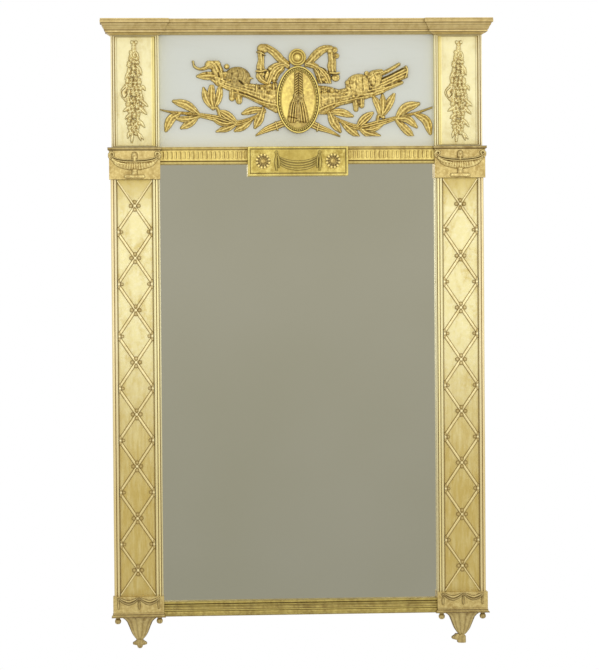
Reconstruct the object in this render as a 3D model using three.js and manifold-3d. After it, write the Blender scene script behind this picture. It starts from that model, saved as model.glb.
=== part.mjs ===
// Trumeau mirror: a tall mirror plate under a painted frieze panel with a carved and gilt trophy, between
// panelled pilasters and under a breakfront cornice. It hangs on a wall by two strap hangers with rings,
// which are let into the back.
// Millimetres. +X right, +Z up, the front faces -Y. The origin is the middle of the flat back.
import * as THREE from 'three';
import { mergeVertices } from 'three/addons/utils/BufferGeometryUtils.js';
import Module from 'manifold-3d';

const wasm = await Module();
wasm.setup();

// ------------------------------------------------------------------ driving sizes
const JOINT_GAP = 0.3;                // air between neighbouring pieces

// heights of the tiers, from the top down
const CORNICE_HEIGHT = 39;
const FRIEZE_HEIGHT = 267;
const MIDDLE_RAIL_HEIGHT = 42;
const MIRROR_SIGHT_HEIGHT = 1049;
const BASE_RAIL_HEIGHT = 37;
const PENDANT_LENGTH = 78;

// widths
const SIGHT_WIDTH = 662;              // clear width between the pilasters
const PILASTER_WIDTH = 118;
const FRIEZE_SETBACK = 3;             // the frieze pilasters and the carcass are narrower outside
const BLOCK_OVERHANG = 3;             // urn blocks and plinths, beyond the pilaster outside
const BLOCK_INNER_OVERHANG = 1;

// carcass, panel and mirror
const CARCASS_DEPTH = 18;
const LIP = 8;                        // how far the gilt front laps over the panel and the mirror
const GLASS_THICKNESS = 5;
const BACKBOARD_REBATE = 12;          // how far the backboard laps over the carcass
const TOP_BOARD_THICKNESS = 3;

// cornice moulding, from the top board down: fillet, cyma, list, cove
const CORNICE_PROJECTION = 25;
const FILLET_HEIGHT = 7.5;
const CYMA_HEIGHT = 16.5;
const LIST_HEIGHT = 5;
const FILLET_STEP = 3.5;              // how far each band stands back from the one above
const CYMA_RUN = 6.5;
const LIST_STEP = 2.2;
const COVE_START_STEP = 2;
const COVE_FOOT = 1;                  // what is left of the projection at the foot
const CENTRE_SETBACK = 13;            // the middle of the cornice stands behind the breakout blocks
const BAND_EASE = 0.4;                // soft edge between two bands of the moulding
const TOP_BOARD_SETBACK = 0.5;        // from the fillet's face back to the board's edge

// pilasters
const FRIEZE_PILASTER_FIELD = 13;
const FRIEZE_PILASTER_FRAME = 20;
const FRIEZE_FRAME_WIDTH = 14.5;
const FRIEZE_FRAME_END = 8.5;         // the same moulding is narrower at the top and the bottom
const PILASTER_FIELD = 15;
const PILASTER_BEAD = 21;
const PILASTER_INNER_MOULDING = 18.5;
const PILASTER_OUTER_MOULDING = 15;

// urn blocks and plinths
const BLOCK_HEIGHT = 77;
const BLOCK_DEPTH = 27;
const CAP_HEIGHT = 7.7;
const CAP_OVERHANG = 3.5;
const PLINTH_HEIGHT = 51;
const PLINTH_DEPTH = 28;
const PLINTH_FLARE = 4;
const PLINTH_FLARE_HEIGHT = 11;

// rails
const FLUTED_RAIL_DEPTH = 18;
const FLUTED_BAND_RECESS = 2.4;       // the fluted band stands back from the rail's front
const FLUTED_BAND_TOP = 6.2;          // from the rail's top down to the band
const FLUTED_BAND_FOOT = 9;           // from the band down to the rail's foot
const FLUTE_COUNT = 20;
const FLUTE_WIDTH = 6.6;
const FLUTE_LENGTH = 18.5;
const FLUTE_CUT = 2.2;
const TABLET_WIDTH = 241;
const TABLET_HEIGHT = 70;
const TABLET_DEPTH = 34;
const TABLET_BORDER_WIDTH = 8.4;
const TABLET_BORDER_RELIEF = 2.2;
const TABLET_FIELD_RELIEF = 0.6;      // the field stands this far above the groove inside the border
const BASE_RAIL_DEPTH = 19;

// trellis on the lower pilasters
const TRELLIS_REPEATS = 8;
const STRAP_WIDTH = 6.8;
const STRAP_RELIEF = 2.6;
const ROSETTE_RADIUS = 12;
const ROSETTE_RELIEF = 6;
const EDGE_ROSETTE_RADIUS = 7;

// trophy
const MEDALLION_HALF_WIDTH = 53;
const MEDALLION_HALF_HEIGHT = 81;
const MEDALLION_RELIEF = 15;
const MEDALLION_FIELD = 7;
const MEDALLION_RIM = 15;             // width of the moulding round the medallion's field
const TROPHY_RELIEF = 18;             // the highest of the ribbons, torch, quiver and laurels
const TASSEL_RELIEF = 8;
const PATERA_RADIUS = 21;
const PATERA_RELIEF = 16;

// carvings on the pilasters, blocks, tablet and plinths
const GARLAND_RELIEF = 13;
const URN_RELIEF = 11;
const DRAPERY_RELIEF = 7;
const TABLET_ROSETTE_RADIUS = 19;
const TABLET_ROSETTE_RELIEF = 6;
const TABLET_ROSETTE_INSET = 36.5;    // from the tablet's end to the middle of its rosette
const PLINTH_SWAG_RELIEF = 6;

// pendants and drops under the plinths
const PENDANT_DEPTH = 34;
const PENDANT_INSET = 18;             // from the plinth's edge to the pendant's
const KNOP_LENGTH = 22;
const KNOP_HALF_WIDTH = 18.5;
const PENDANT_BACK = 4;               // the flat back of the pendants stands this far from the wall
const RIGHT_KNOP_TILT = 17;           // degrees: the right knop has been knocked askew
const DROP_RADIUS = 8;
const DROP_LENGTH = 17;
const DROP_SETBACK = 6;               // from the plinth's front edge to the drop's front
const DROP_INSET = 3;                 // from the plinth's edge to the drop's side

// strap hangers
const HANGER_DROP = 250;              // from the top of the cornice to the ring's hinge
const STRAP_PLATE_WIDTH = 15;
const STRAP_PLATE_LENGTH = 52;
const STRAP_PLATE_THICKNESS = 2;
const RING_WIRE_RADIUS = 2;
const RING_CLEARANCE = 0.3;
const RING_SIDE_ROOM = 3.5;           // between the strap's side and the ring's bow
const RING_CORNER = 4;
const RING_REACH = 24;                // hinge to the far side of the ring, on the wire's axis
const EYE_WALL = 1.2;
const SCREW_HEAD_RADIUS = 3.6;
const SCREW_SHANK_RADIUS = 1.8;
const SCREW_LENGTH = 8;               // below the strap
const SCREW_TAPER = 3;
const SCREW_HOLE_SPARE = 1;           // the pilot hole is deeper than the screw
const RECESS_ROOM = 4;                // round the strap and the ring, let into the stiles
const UPPER_SCREW_BELOW = 14;         // below the ring's hinge
const LOWER_SCREW_BELOW = 40;

// ------------------------------------------------------------------ places worked out from the sizes
const friezeTop = CORNICE_HEIGHT;     // drops are measured down from the top of the cornice
const friezeBottom = friezeTop + FRIEZE_HEIGHT;
const mirrorTop = friezeBottom + MIDDLE_RAIL_HEIGHT;
const mirrorBottom = mirrorTop + MIRROR_SIGHT_HEIGHT;
const railBottom = mirrorBottom + BASE_RAIL_HEIGHT;
const overallHeight = railBottom + PENDANT_LENGTH;
const up = (drop) => overallHeight / 2 - drop;

const sightHalf = SIGHT_WIDTH / 2;
const pilasterOuter = sightHalf + PILASTER_WIDTH;
const carcassOuter = pilasterOuter - FRIEZE_SETBACK;
const blockInner = sightHalf - BLOCK_INNER_OVERHANG;
const blockOuter = pilasterOuter + BLOCK_OVERHANG;
const blockAxis = (blockInner + blockOuter) / 2;
const blockWidth = blockOuter - blockInner;
const friezePilasterWidth = carcassOuter - sightHalf;
const pilasterTop = friezeBottom + BLOCK_HEIGHT;
const plinthTop = railBottom - PLINTH_HEIGHT;
const pilasterLength = plinthTop - pilasterTop;
const fieldWidth = PILASTER_WIDTH - PILASTER_INNER_MOULDING - PILASTER_OUTER_MOULDING;
const fieldAxis = sightHalf + PILASTER_INNER_MOULDING + fieldWidth / 2;
const friezePilasterAxis = (sightHalf + carcassOuter) / 2;
const frontPlane = CARCASS_DEPTH + JOINT_GAP;      // everything gilt is planted on this plane
const panelHalf = sightHalf + LIP;                 // half width of the panel and the mirror plate
const hangerAxis = (panelHalf + carcassOuter) / 2;
const screwDrops = [UPPER_SCREW_BELOW, LOWER_SCREW_BELOW].map((below) => HANGER_DROP + below);
const ringBarBack = JOINT_GAP + STRAP_PLATE_THICKNESS + RING_CLEARANCE + RING_WIRE_RADIUS;
const eyeOuter = RING_WIRE_RADIUS + RING_CLEARANCE + EYE_WALL;
const ringOuterHalf = STRAP_PLATE_WIDTH / 2 + RING_SIDE_ROOM + 2 * RING_WIRE_RADIUS;
const hangerRecess = ringBarBack + eyeOuter + JOINT_GAP;   // the hangers lie below the flat back

// ------------------------------------------------------------------ materials
const finish = (color, roughness, metalness) => (
  new THREE.MeshStandardMaterial({ color, roughness, metalness }));
const gilt = finish(0xd8bd6c, 0.38, 0.85);
const paint = finish(0xc6cabb, 0.55, 0);
const silvering = finish(0xdfe3e4, 0.03, 1);
const bareWood = finish(0x9a774a, 0.75, 0);
const steel = finish(0x8f9092, 0.4, 0.9);

// ------------------------------------------------------------------ solids
// Flat faces that were cut apart by a join are merged again where they agree to within this.
const FLATNESS = 0.02;

function toSolid(geometry) {
  const bare = geometry.index ? geometry.clone() : geometry;
  bare.deleteAttribute('normal');
  bare.deleteAttribute('uv');
  const merged = mergeVertices(bare, 1e-4);
  return new wasm.Manifold(new wasm.Mesh({
    numProp: 3,
    vertProperties: Float32Array.from(merged.attributes.position.array),
    triVerts: Uint32Array.from(merged.index.array),
  }));
}

function toGeometry(solid) {
  const mesh = solid.asOriginal().simplify(FLATNESS).getMesh();
  const geometry = new THREE.BufferGeometry();
  geometry.setAttribute('position', new THREE.BufferAttribute(Float32Array.from(mesh.vertProperties), 3));
  geometry.setIndex(new THREE.BufferAttribute(Uint32Array.from(mesh.triVerts), 1));
  geometry.computeVertexNormals();
  return geometry;
}

const joined = (solids) => solids.reduce((whole, next) => whole.add(next));

/**
 * A closed solid through rings of equally many points, looped on itself or capped at both ends. An apex
 * takes the place of the middle of the last cap.
 */
function skin(rings, { looped = false, apex = null } = {}) {
  const count = rings[0].length;
  const points = rings.flat();
  const faces = [];
  const spans = looped ? rings.length : rings.length - 1;
  for (let i = 0; i < spans; i++) {
    const near = i * count;
    const far = ((i + 1) % rings.length) * count;
    for (let j = 0; j < count; j++) {
      const next = (j + 1) % count;
      faces.push([near + j, near + next, far + next], [near + j, far + next, far + j]);
    }
  }
  if (!looped) {
    for (const [start, flip] of [[0, true], [(rings.length - 1) * count, false]]) {
      const hub = points.length;
      const middle = points.slice(start, start + count)
        .reduce((sum, p) => sum.add(p), new THREE.Vector3()).divideScalar(count);
      points.push(flip || !apex ? middle : apex);
      for (let j = 0; j < count; j++) {
        const a = start + j;
        const b = start + (j + 1) % count;
        faces.push(flip ? [hub, b, a] : [hub, a, b]);
      }
    }
  }
  return outward(points, faces);
}

/** The solid of a closed surface, with its faces turned outward. */
function outward(points, faces) {
  const volume = faces.reduce((sum, [a, b, c]) => (
    sum + points[a].dot(new THREE.Vector3().crossVectors(points[b], points[c]))), 0);
  const order = volume > 0 ? faces : faces.map(([a, b, c]) => [a, c, b]);
  const geometry = new THREE.BufferGeometry().setFromPoints(points);
  geometry.setIndex(order.flat());
  return toSolid(geometry);
}

function box(x0, x1, y0, y1, z0, z1) {
  const geometry = new THREE.BoxGeometry(x1 - x0, y1 - y0, z1 - z0);
  return toSolid(geometry.translate((x0 + x1) / 2, (y0 + y1) / 2, (z0 + z1) / 2));
}

const mirrored = (solid) => solid.mirror([1, 0, 0]);
const shifted = (solid, x, y, z) => solid.translate([x, y, z]);

/** An outline of [across, forward] points drawn upright for a length: forward is towards -Y. */
function upright(outline, length) {
  const shape = new THREE.Shape(outline.map(([across, forward]) => new THREE.Vector2(across, -forward)));
  return toSolid(new THREE.ExtrudeGeometry(shape, { depth: length, bevelEnabled: false }));
}

/** An outline of [forward, height] points drawn along X for a length, centred on x = 0. */
function lengthwise(outline, length) {
  const shape = new THREE.Shape(outline.map(([forward, height]) => new THREE.Vector2(forward, height)));
  const geometry = new THREE.ExtrudeGeometry(shape, { depth: length, bevelEnabled: false });
  geometry.translate(0, 0, -length / 2);
  const turn = new THREE.Matrix4().makeBasis(
    new THREE.Vector3(0, -1, 0), new THREE.Vector3(0, 0, 1), new THREE.Vector3(-1, 0, 0));
  return toSolid(geometry.applyMatrix4(turn));
}

/** A drawing's points fitted from the size it was drawn at to the size that is wanted. */
const fitted = (points, drawn, wanted) => (
  points.map(([a, b]) => [a * wanted[0] / drawn[0], b * wanted[1] / drawn[1]]));

/** A plan rectangle that changes with height. Levels are {z, left, right, front}; the back is at 0. */
function stack(levels) {
  return skin(levels.map(({ z, left, right, front }) => [
    new THREE.Vector3(left, 0, z), new THREE.Vector3(right, 0, z),
    new THREE.Vector3(right, -front, z), new THREE.Vector3(left, -front, z)]));
}

/**
 * A board with a moulding mitred round it: profile points are [inset, forward], ending at the field. The
 * top and bottom lengths are as wide as the given share of the sides.
 */
function framedBoard(width, height, profile, endShare = 1) {
  return skin(profile.map(([inset, forward]) => {
    const halfWidth = width / 2 - inset;
    const halfHeight = height / 2 - inset * endShare;
    return [[-1, -1], [1, -1], [1, 1], [-1, 1]].map(([sx, sz]) => (
      new THREE.Vector3(sx * halfWidth, -forward, sz * halfHeight)));
  }));
}

/** The same moulding carried round an oval. */
function framedOval(halfWidth, halfHeight, profile, sides) {
  return skin(profile.map(([inset, forward]) => (
    Array.from({ length: sides }, (_, i) => {
      const angle = (i / sides) * Math.PI * 2;
      return new THREE.Vector3(
        (halfWidth - inset) * Math.cos(angle), -forward, (halfHeight - inset) * Math.sin(angle));
    }))));
}

/** A turned piece whose axis points forward: profile points are [radius, forward]. */
function turned(profile, sides) {
  const lathe = new THREE.LatheGeometry(profile.map(([r, f]) => new THREE.Vector2(r, f)), sides);
  return toSolid(lathe.rotateX(Math.PI));
}

// ------------------------------------------------------------------ carving in relief
// A carving is a list of strokes and domes on a flat ground. Its points are [x, drop] on a drawing whose
// middle is given, and its heights are measured forward from the ground. The drawing is fitted to the width
// and height of the ground it lies on and to the relief that is wanted: [width, height, relief].
const ROUND_SECTION = [[-1, 0], [-0.6, 0.85], [0.6, 0.85], [1, 0]];
const LEAF_SECTION = [[-1, 0], [0, 1], [1, 0]];
const BOX_SECTION = [[-1, 0], [-1, 1], [1, 1], [1, 0]];
const LEAF_WIDTHS = [0.3, 0.98, 0.88, 0.08];
const LEAF_HEIGHTS = [0.75, 1, 0.9, 0.35];
const FOOTPRINT_HEIGHT = 60;          // taller than any carving

const leaf = (points, halfWidth, height) => ({
  points, height, section: LEAF_SECTION, widths: LEAF_WIDTHS.map((w) => w * halfWidth), heights: LEAF_HEIGHTS,
});
const rod = (points, widths, height, heights = [1]) => ({
  points, widths, height, heights, section: ROUND_SECTION,
});
const dome = (centre, halfWidth, halfHeight, height) => ({ centre, halfWidth, halfHeight, height });

/** The value of a list of evenly spaced readings at t from 0 to 1. */
function reading(list, t) {
  const place = t * (list.length - 1);
  const index = Math.min(Math.floor(place), Math.max(list.length - 2, 0));
  const next = Math.min(index + 1, list.length - 1);
  return THREE.MathUtils.lerp(list[index], list[next], place - index);
}

function strokeSolid(stroke, middle, footprint) {
  const curve = new THREE.CatmullRomCurve3(
    stroke.points.map(([x, drop]) => new THREE.Vector3(x, 0, middle - drop)));
  const steps = Math.max(3, stroke.widths.length - 1, stroke.points.length - 1);
  const grow = footprint ? JOINT_GAP : 0;
  const section = footprint ? BOX_SECTION : stroke.section;
  return skin(Array.from({ length: steps + 1 }, (_, i) => {
    const t = i / steps;
    const along = curve.getTangent(t);
    const end = i === 0 ? -grow : grow * (i === steps);
    const centre = curve.getPoint(t).addScaledVector(along, end);
    const half = reading(stroke.widths, t) + grow;
    const height = footprint ? FOOTPRINT_HEIGHT : stroke.height * reading(stroke.heights, t);
    return section.map(([across, rise]) => new THREE.Vector3(
      centre.x - along.z * half * across,
      rise === 0 ? grow : -height * rise,
      centre.z + along.x * half * across));
  }));
}

function domeSolid({ centre, halfWidth, halfHeight, height }, middle, footprint) {
  const sideCount = 7;
  const grow = footprint ? JOINT_GAP : 0;
  const rings = footprint ? [[1, -grow], [1, FOOTPRINT_HEIGHT]] : [[1, 0], [0.74, height * 0.75]];
  const apex = new THREE.Vector3(centre[0], footprint ? -FOOTPRINT_HEIGHT : -height, middle - centre[1]);
  return skin(rings.map(([share, forward]) => (
    Array.from({ length: sideCount }, (_, i) => {
      const angle = ((i + 0.5) / sideCount) * Math.PI * 2;
      return new THREE.Vector3(
        centre[0] + (halfWidth * share + grow) * Math.cos(angle), -forward,
        middle - centre[1] + (halfHeight * share + grow) * Math.sin(angle));
    }))), { apex });
}

function carve({ middle, drawn, marks }, ground, footprint = false) {
  const [width, height, relief] = ground.map((size, i) => size / drawn[i]);
  return joined(marks.map((mark) => (
    mark.centre ? domeSolid(mark, middle, footprint) : strokeSolid(mark, middle, footprint))))
    .scale([width, relief, height]);
}

// ------------------------------------------------------------------ drawings of the carvings
const ON_PANEL = { middle: 172.5, drawn: [662, 267, 18] };
const MEDALLION_CENTRE = [3, 20.5];   // from the panel's middle: right and down
const PATERA_CENTRE = [1.5, -81];

const LEFT_RIBBON = {
  ...ON_PANEL,
  marks: [
    rod([[-20, 108], [-42, 89], [-62, 72], [-80, 66]], [8, 8.5, 9, 8], 12, [0.7, 0.9, 1, 1.1]),
    rod([[-76, 64], [-85, 78], [-84, 96], [-85, 120]], [8, 8.5, 9, 9], 13, [1, 1, 0.8, 0.9]),
    rod([[-98, 124], [-86, 126], [-74, 123]], [4, 5, 4], 15),
    dome([-87, 136], 12, 10, 14),
    rod([[-92, 140], [-80, 150], [-66, 148]], [8, 6, 5], 11),
    dome([-57, 134], 14, 14, 15),
    dome([-50, 117], 14, 11, 15),
    rod([[-56, 116], [-38, 108], [-20, 106]], [9, 8, 6], 13),
  ],
};

const RIGHT_RIBBON = {
  ...ON_PANEL,
  marks: [
    rod([[24, 108], [44, 88], [58, 74], [78, 67]], [7, 8.5, 9, 8], 12, [0.7, 0.9, 1, 1.1]),
    rod([[72, 66], [90, 69], [97, 84]], [7, 9, 7], 14),
    rod([[90, 72], [84, 96], [86, 122]], [9, 10, 10], 13, [1, 0.8, 0.9]),
    rod([[78, 122], [92, 125], [103, 123]], [4, 5, 4], 15),
    dome([92, 136], 11, 12, 14),
    dome([67, 139], 16, 16, 16),
    rod([[24, 108], [44, 112], [60, 126]], [6, 8, 9], 13),
  ],
};

const TORCH = {
  ...ON_PANEL,
  marks: [
    rod([[-40, 196], [-80, 183], [-122, 172]], [32, 24, 16], 15, [0.9, 1, 1]),
    rod([[-116, 170], [-150, 162], [-186, 142]], [17, 18, 15], 14),
    dome([-142, 140], 34, 26, 17),
    dome([-167, 119], 8, 8, 12),
    rod([[-184, 150], [-190, 126], [-207, 106]], [13, 12, 12], 15),
    rod([[-200, 110], [-214, 116], [-236, 121], [-250, 114], [-248, 101]], [9, 6, 4, 3, 2.5], 11,
      [1, 0.9, 0.7]),
    leaf([[-190, 139], [-214, 134], [-238, 138]], 9, 10),
    rod([[-157, 168], [-156, 193]], [7, 6], 8),
    rod([[-140, 168], [-141, 203]], [9, 5], 9),
    rod([[-95, 154], [-93, 200]], [6, 6], 18),
  ],
};

const QUIVER = {
  ...ON_PANEL,
  marks: [
    rod([[40, 214], [100, 188], [156, 172], [206, 156]], [18, 15, 14, 14], 14),
    rod([[190, 158], [230, 142], [263, 125]], [13, 11, 13], 12, [1, 0.9, 0.9]),
    rod([[160, 176], [212, 164], [256, 149]], [8, 5, 3], 9),
    rod([[196, 125], [224, 114], [250, 102]], [5, 4.5, 4], 8),
    dome([150, 155], 33, 28, 17),
    dome([194, 137], 17, 20, 15),
    dome([171, 130], 6, 8, 15),
    rod([[101, 164], [103, 201]], [7, 7], 18),
    rod([[143, 176], [143, 218]], [8, 5], 9),
    rod([[158, 176], [159, 207]], [8, 5], 8),
  ],
};

const TORCH_FOOT = {
  ...ON_PANEL,
  marks: [rod([[30, 248], [52, 259], [76, 268], [103, 281]], [10, 9, 6, 2.5], 11, [1, 1, 0.8, 0.6])],
};

const QUIVER_FOOT = {
  ...ON_PANEL,
  marks: [rod([[-26, 246], [-50, 255], [-74, 264], [-99, 278]], [9, 10, 8, 2.5], 11, [1, 1, 0.8, 0.6])],
};

const LEFT_LAUREL = {
  ...ON_PANEL,
  marks: [
    rod([[-76, 222], [-112, 240], [-150, 250], [-196, 240], [-250, 229], [-300, 223], [-328, 217]],
      [4, 5, 9, 10, 7, 4, 2], 10, [0.8, 1, 1, 0.8, 0.6]),
    leaf([[-80, 218], [-106, 220], [-131, 227]], 8, 9),
    leaf([[-84, 214], [-90, 238], [-101, 260]], 9, 11),
    leaf([[-108, 241], [-128, 256], [-149, 268]], 8, 9),
    leaf([[-146, 248], [-166, 233], [-186, 221]], 9, 12),
    leaf([[-146, 252], [-168, 262], [-193, 270]], 7, 9),
    dome([-203, 213], 5.5, 5, 10),
    rod([[-203, 214], [-192, 214], [-184, 234]], [3, 5, 5], 9),
    leaf([[-202, 216], [-217, 192], [-224, 166]], 8, 9),
    leaf([[-201, 214], [-204, 190], [-203, 156]], 9, 12),
    leaf([[-199, 214], [-188, 188], [-184, 160]], 8, 9),
    leaf([[-236, 228], [-264, 207], [-296, 197]], 9, 11),
    leaf([[-282, 226], [-303, 240], [-315, 267]], 9, 10),
    leaf([[-238, 232], [-256, 248], [-278, 261]], 8, 9),
    leaf([[-234, 234], [-262, 240], [-290, 239]], 7, 11),
  ],
};

const RIGHT_LAUREL = {
  ...ON_PANEL,
  marks: [
    rod([[74, 224], [106, 242], [148, 257], [196, 250], [244, 236], [292, 223], [327, 209]],
      [4, 5, 9, 10, 7, 4, 2.5], 10, [0.8, 1, 1, 0.8, 0.6]),
    leaf([[78, 222], [106, 222], [135, 229]], 8, 9),
    leaf([[80, 220], [88, 244], [104, 267]], 9, 11),
    leaf([[106, 242], [128, 262], [148, 278]], 8, 9),
    leaf([[148, 256], [164, 238], [182, 222]], 9, 12),
    leaf([[148, 256], [172, 272], [199, 278]], 8, 9),
    dome([208, 233], 5.5, 5, 10),
    rod([[206, 232], [197, 230], [194, 248]], [3, 5, 5], 9),
    leaf([[204, 232], [220, 205], [235, 178]], 9, 10),
    leaf([[204, 232], [208, 208], [205, 182]], 8, 12),
    leaf([[202, 232], [197, 206], [184, 184]], 8, 9),
    leaf([[240, 238], [262, 212], [294, 201]], 10, 11),
    leaf([[286, 226], [312, 242], [322, 273]], 9, 10),
    leaf([[238, 238], [262, 262], [280, 280]], 8, 9),
    leaf([[236, 238], [266, 238], [289, 257]], 8, 11),
  ],
};

const GARLAND = {
  middle: 172.5,
  drawn: [86, 249.7, 13],
  marks: [
    dome([0, 57], 8, 7.5, 6),
    rod([[0, 60], [0, 78], [-2, 102]], [4, 5, 8], 6),
    dome([-4, 104], 12, 12, 9),
    leaf([[2, 104], [15, 116], [20, 134]], 7, 7),
    leaf([[-4, 108], [-14, 120], [-13, 138]], 7, 7),
    dome([-5, 134], 11, 12, 10),
    dome([4, 152], 15, 13, 11),
    dome([-23, 177], 11, 17, 11),
    dome([-2, 176], 16, 16, 13),
    dome([18, 184], 13, 12, 11),
    leaf([[14, 190], [25, 199], [34, 210]], 7, 8),
    leaf([[10, 202], [21, 217], [32, 228]], 7, 8),
    dome([4, 204], 15, 14, 12),
    leaf([[-6, 204], [-15, 213], [-24, 222]], 7, 8),
    dome([-3, 226], 12, 12, 10),
    dome([-6, 255], 14, 14, 11),
    rod([[0, 226], [-2, 250]], [9, 9], 8),
    leaf([[4, 238], [15, 247], [25, 258]], 7, 7),
    leaf([[0, 262], [9, 278], [16, 294]], 6, 6),
    leaf([[-4, 264], [-3, 282], [-1, 296]], 5, 6),
  ],
};

const URN = {
  middle: 348.5,
  drawn: [122, 69.3, 11],
  marks: [
    rod([[-58, 336], [-36, 349], [0, 353], [36, 349], [58, 336]], [1.5, 7, 10, 7, 1.5], 10,
      [0.5, 0.85, 1, 0.85, 0.5]),
    rod([[-59, 331], [-36, 343], [0, 346], [36, 343], [59, 331]], [3], 11, [0.7, 0.9, 1, 0.9, 0.7]),
    rod([[-57, 335], [-60, 326], [-54, 319], [-48, 322], [-50, 328]], [3, 3.5, 3.5, 3, 3], 9),
    rod([[57, 335], [60, 326], [54, 319], [48, 322], [50, 328]], [3, 3.5, 3.5, 3, 3], 9),
    dome([0, 325], 7, 9, 9),
    rod([[0, 326], [0, 346]], [5, 5], 7),
    dome([0, 364], 6, 5, 9),
    rod([[0, 360], [0, 368], [0, 376]], [8, 6, 16], 8),
    rod([[-25, 376], [25, 376]], [5, 5], 8),
  ],
};

/** The strands of a twisted cord between two drops, each crossing it on a slant. */
function cordTwists(top, foot, turns) {
  const pitch = (foot - top) / turns;
  return Array.from({ length: turns }, (_, i) => {
    const drop = top + i * pitch;
    const spread = 0.5 + i * 0.12;
    return rod([[-6 - spread, drop - 1], [7 + spread, drop + pitch + 1]], [pitch * 0.62], 6);
  });
}

// the cord that hangs from the medallion's top, with its two tassels, drawn on the medallion's field
const TASSEL = {
  middle: 193,
  drawn: [76, 132, 8],
  marks: [
    ...cordTwists(129, 182, 6),
    rod([[0.5, 129], [0.5, 184]], [6], 4),
    ...[[-9, 238, -9], [6, 247, 7]].flatMap(([x, lower, lean]) => [
      dome([x, 189], 9, 9, 8),
      rod([[x, 194], [x + lean * 0.4, 214], [x + lean, lower]], [6, 8, 10.5, 13.5], 7),
    ]),
    rod([[-1, 184], [-1, 226]], [8], 5),
  ],
};

const swagFold = (drop, sag) => {
  const low = drop + sag * 0.72;
  return rod([[-47, drop], [-26, low], [0, drop + sag], [26, low], [47, drop]], [4.2], 6);
};

const TABLET_DRAPERY = {
  middle: 342,
  drawn: [224.2, 53.2, 7],
  marks: [
    ...[-1, 1].flatMap((side) => [
      dome([52 * side, 321], 5, 5, 6),
      rod([[52 * side, 322], [54 * side, 344], [50 * side, 363]], [3, 6, 3.5], 7),
      rod([[50 * side, 324], [45 * side, 340], [44 * side, 356]], [3, 5, 3], 6),
      rod([[52 * side, 334], [62 * side, 346]], [4, 3], 5),
    ]),
    swagFold(334, 13), swagFold(341, 14), swagFold(348, 13),
  ],
};

const PLINTH_SWAG = {
  middle: 1408.5,
  drawn: [122, 51, 6],
  marks: [
    rod([[-48, 1390], [-38, 1397], [-24, 1401], [-10, 1398], [2, 1388]], [2.4, 2.6, 3, 2.6, 2.4], 5),
    rod([[2, 1388], [14, 1398], [26, 1401], [38, 1397], [47, 1390]], [2.4, 2.6, 3, 2.6, 2.4], 5),
    ...[-48, 2, 47].flatMap((x) => [
      dome([x, 1389], 4.5, 4, 6),
      rod([[x, 1390], [x, 1400], [x, 1414]], [2, 4.5, 2.5], 5),
    ]),
  ],
};

// ------------------------------------------------------------------ mouldings
/** The cornice as [drop, projection], from under the top board to the frieze. */
function corniceProfile() {
  let drop = TOP_BOARD_THICKNESS;
  let projection = CORNICE_PROJECTION;
  const points = [[drop, projection]];
  drop += FILLET_HEIGHT;
  points.push([drop, projection]);
  projection -= FILLET_STEP;
  const cymaStepCount = 6;
  for (let i = 0; i <= cymaStepCount; i++) {
    const t = i / cymaStepCount;
    const ease = (1 - Math.cos(Math.PI * t)) / 2;
    points.push([drop + BAND_EASE + t * (CYMA_HEIGHT - 2 * BAND_EASE), projection - CYMA_RUN * ease]);
  }
  drop += CYMA_HEIGHT;
  projection -= CYMA_RUN + LIST_STEP;
  points.push([drop, projection]);
  drop += LIST_HEIGHT;
  points.push([drop, projection]);
  projection -= COVE_START_STEP;
  const coveHeight = CORNICE_HEIGHT - drop - JOINT_GAP;
  const coveRun = projection - COVE_FOOT;
  const coveStepCount = 4;
  for (let i = 0; i <= coveStepCount; i++) {
    const share = Math.sin((i / coveStepCount) * (Math.PI / 2));
    points.push([
      drop + BAND_EASE + (coveHeight - BAND_EASE) * share, COVE_FOOT + coveRun * (1 - share)]);
  }
  return points;
}

/** Lifts a moulding drawn above a field to its height above the board's back. */
const above = (field, points) => points.map(([across, rise]) => [across, field + rise]);

// The moulding round the frieze pilasters as [inset, rise above the field]: fillet, quirk, bead and slope.
const FRIEZE_FRAME = {
  drawn: [14.5, 7],
  points: [
    [0, 6], [0.8, 7], [3, 7], [3.6, 4.8], [4.6, 4.8], [5, 6.2], [6.6, 7], [8.2, 6.2], [8.8, 4.4],
    [10.5, 3.8], [14.5, 0]],
};

function friezeFrameProfile() {
  const rise = FRIEZE_PILASTER_FRAME - FRIEZE_PILASTER_FIELD;
  const moulding = fitted(FRIEZE_FRAME.points, FRIEZE_FRAME.drawn, [FRIEZE_FRAME_WIDTH, rise]);
  return [[0, 0], ...above(FRIEZE_PILASTER_FIELD, moulding)];
}

// The mouldings of a lower pilaster as [across, rise above the field]. The inner one starts at the mirror
// with a cove, a fillet and a bead, and the outer one ends in a flat band at the outside.
const PILASTER_INNER = {
  drawn: [18.5, 6],
  points: [
    [0, -2], [1.2, 1.8], [3.4, 3.4], [4, 1.6], [5.2, 1.6], [5.6, 4.6], [9.4, 4.6], [9.8, 2.8], [11, 2.8],
    [11.6, 5], [14.2, 6], [16.8, 5], [17.7, 1.4], [18.5, 0]],
};
const PILASTER_OUTER = {
  drawn: [15, 6],
  points: [
    [0, 0], [0.8, 1.4], [1.6, 5], [4.2, 6], [6.8, 5], [7.4, 2.8], [8.6, 2.8], [9, 4.2], [12, 4.2],
    [14.2, 2.8], [15, 0]],
};

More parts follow.
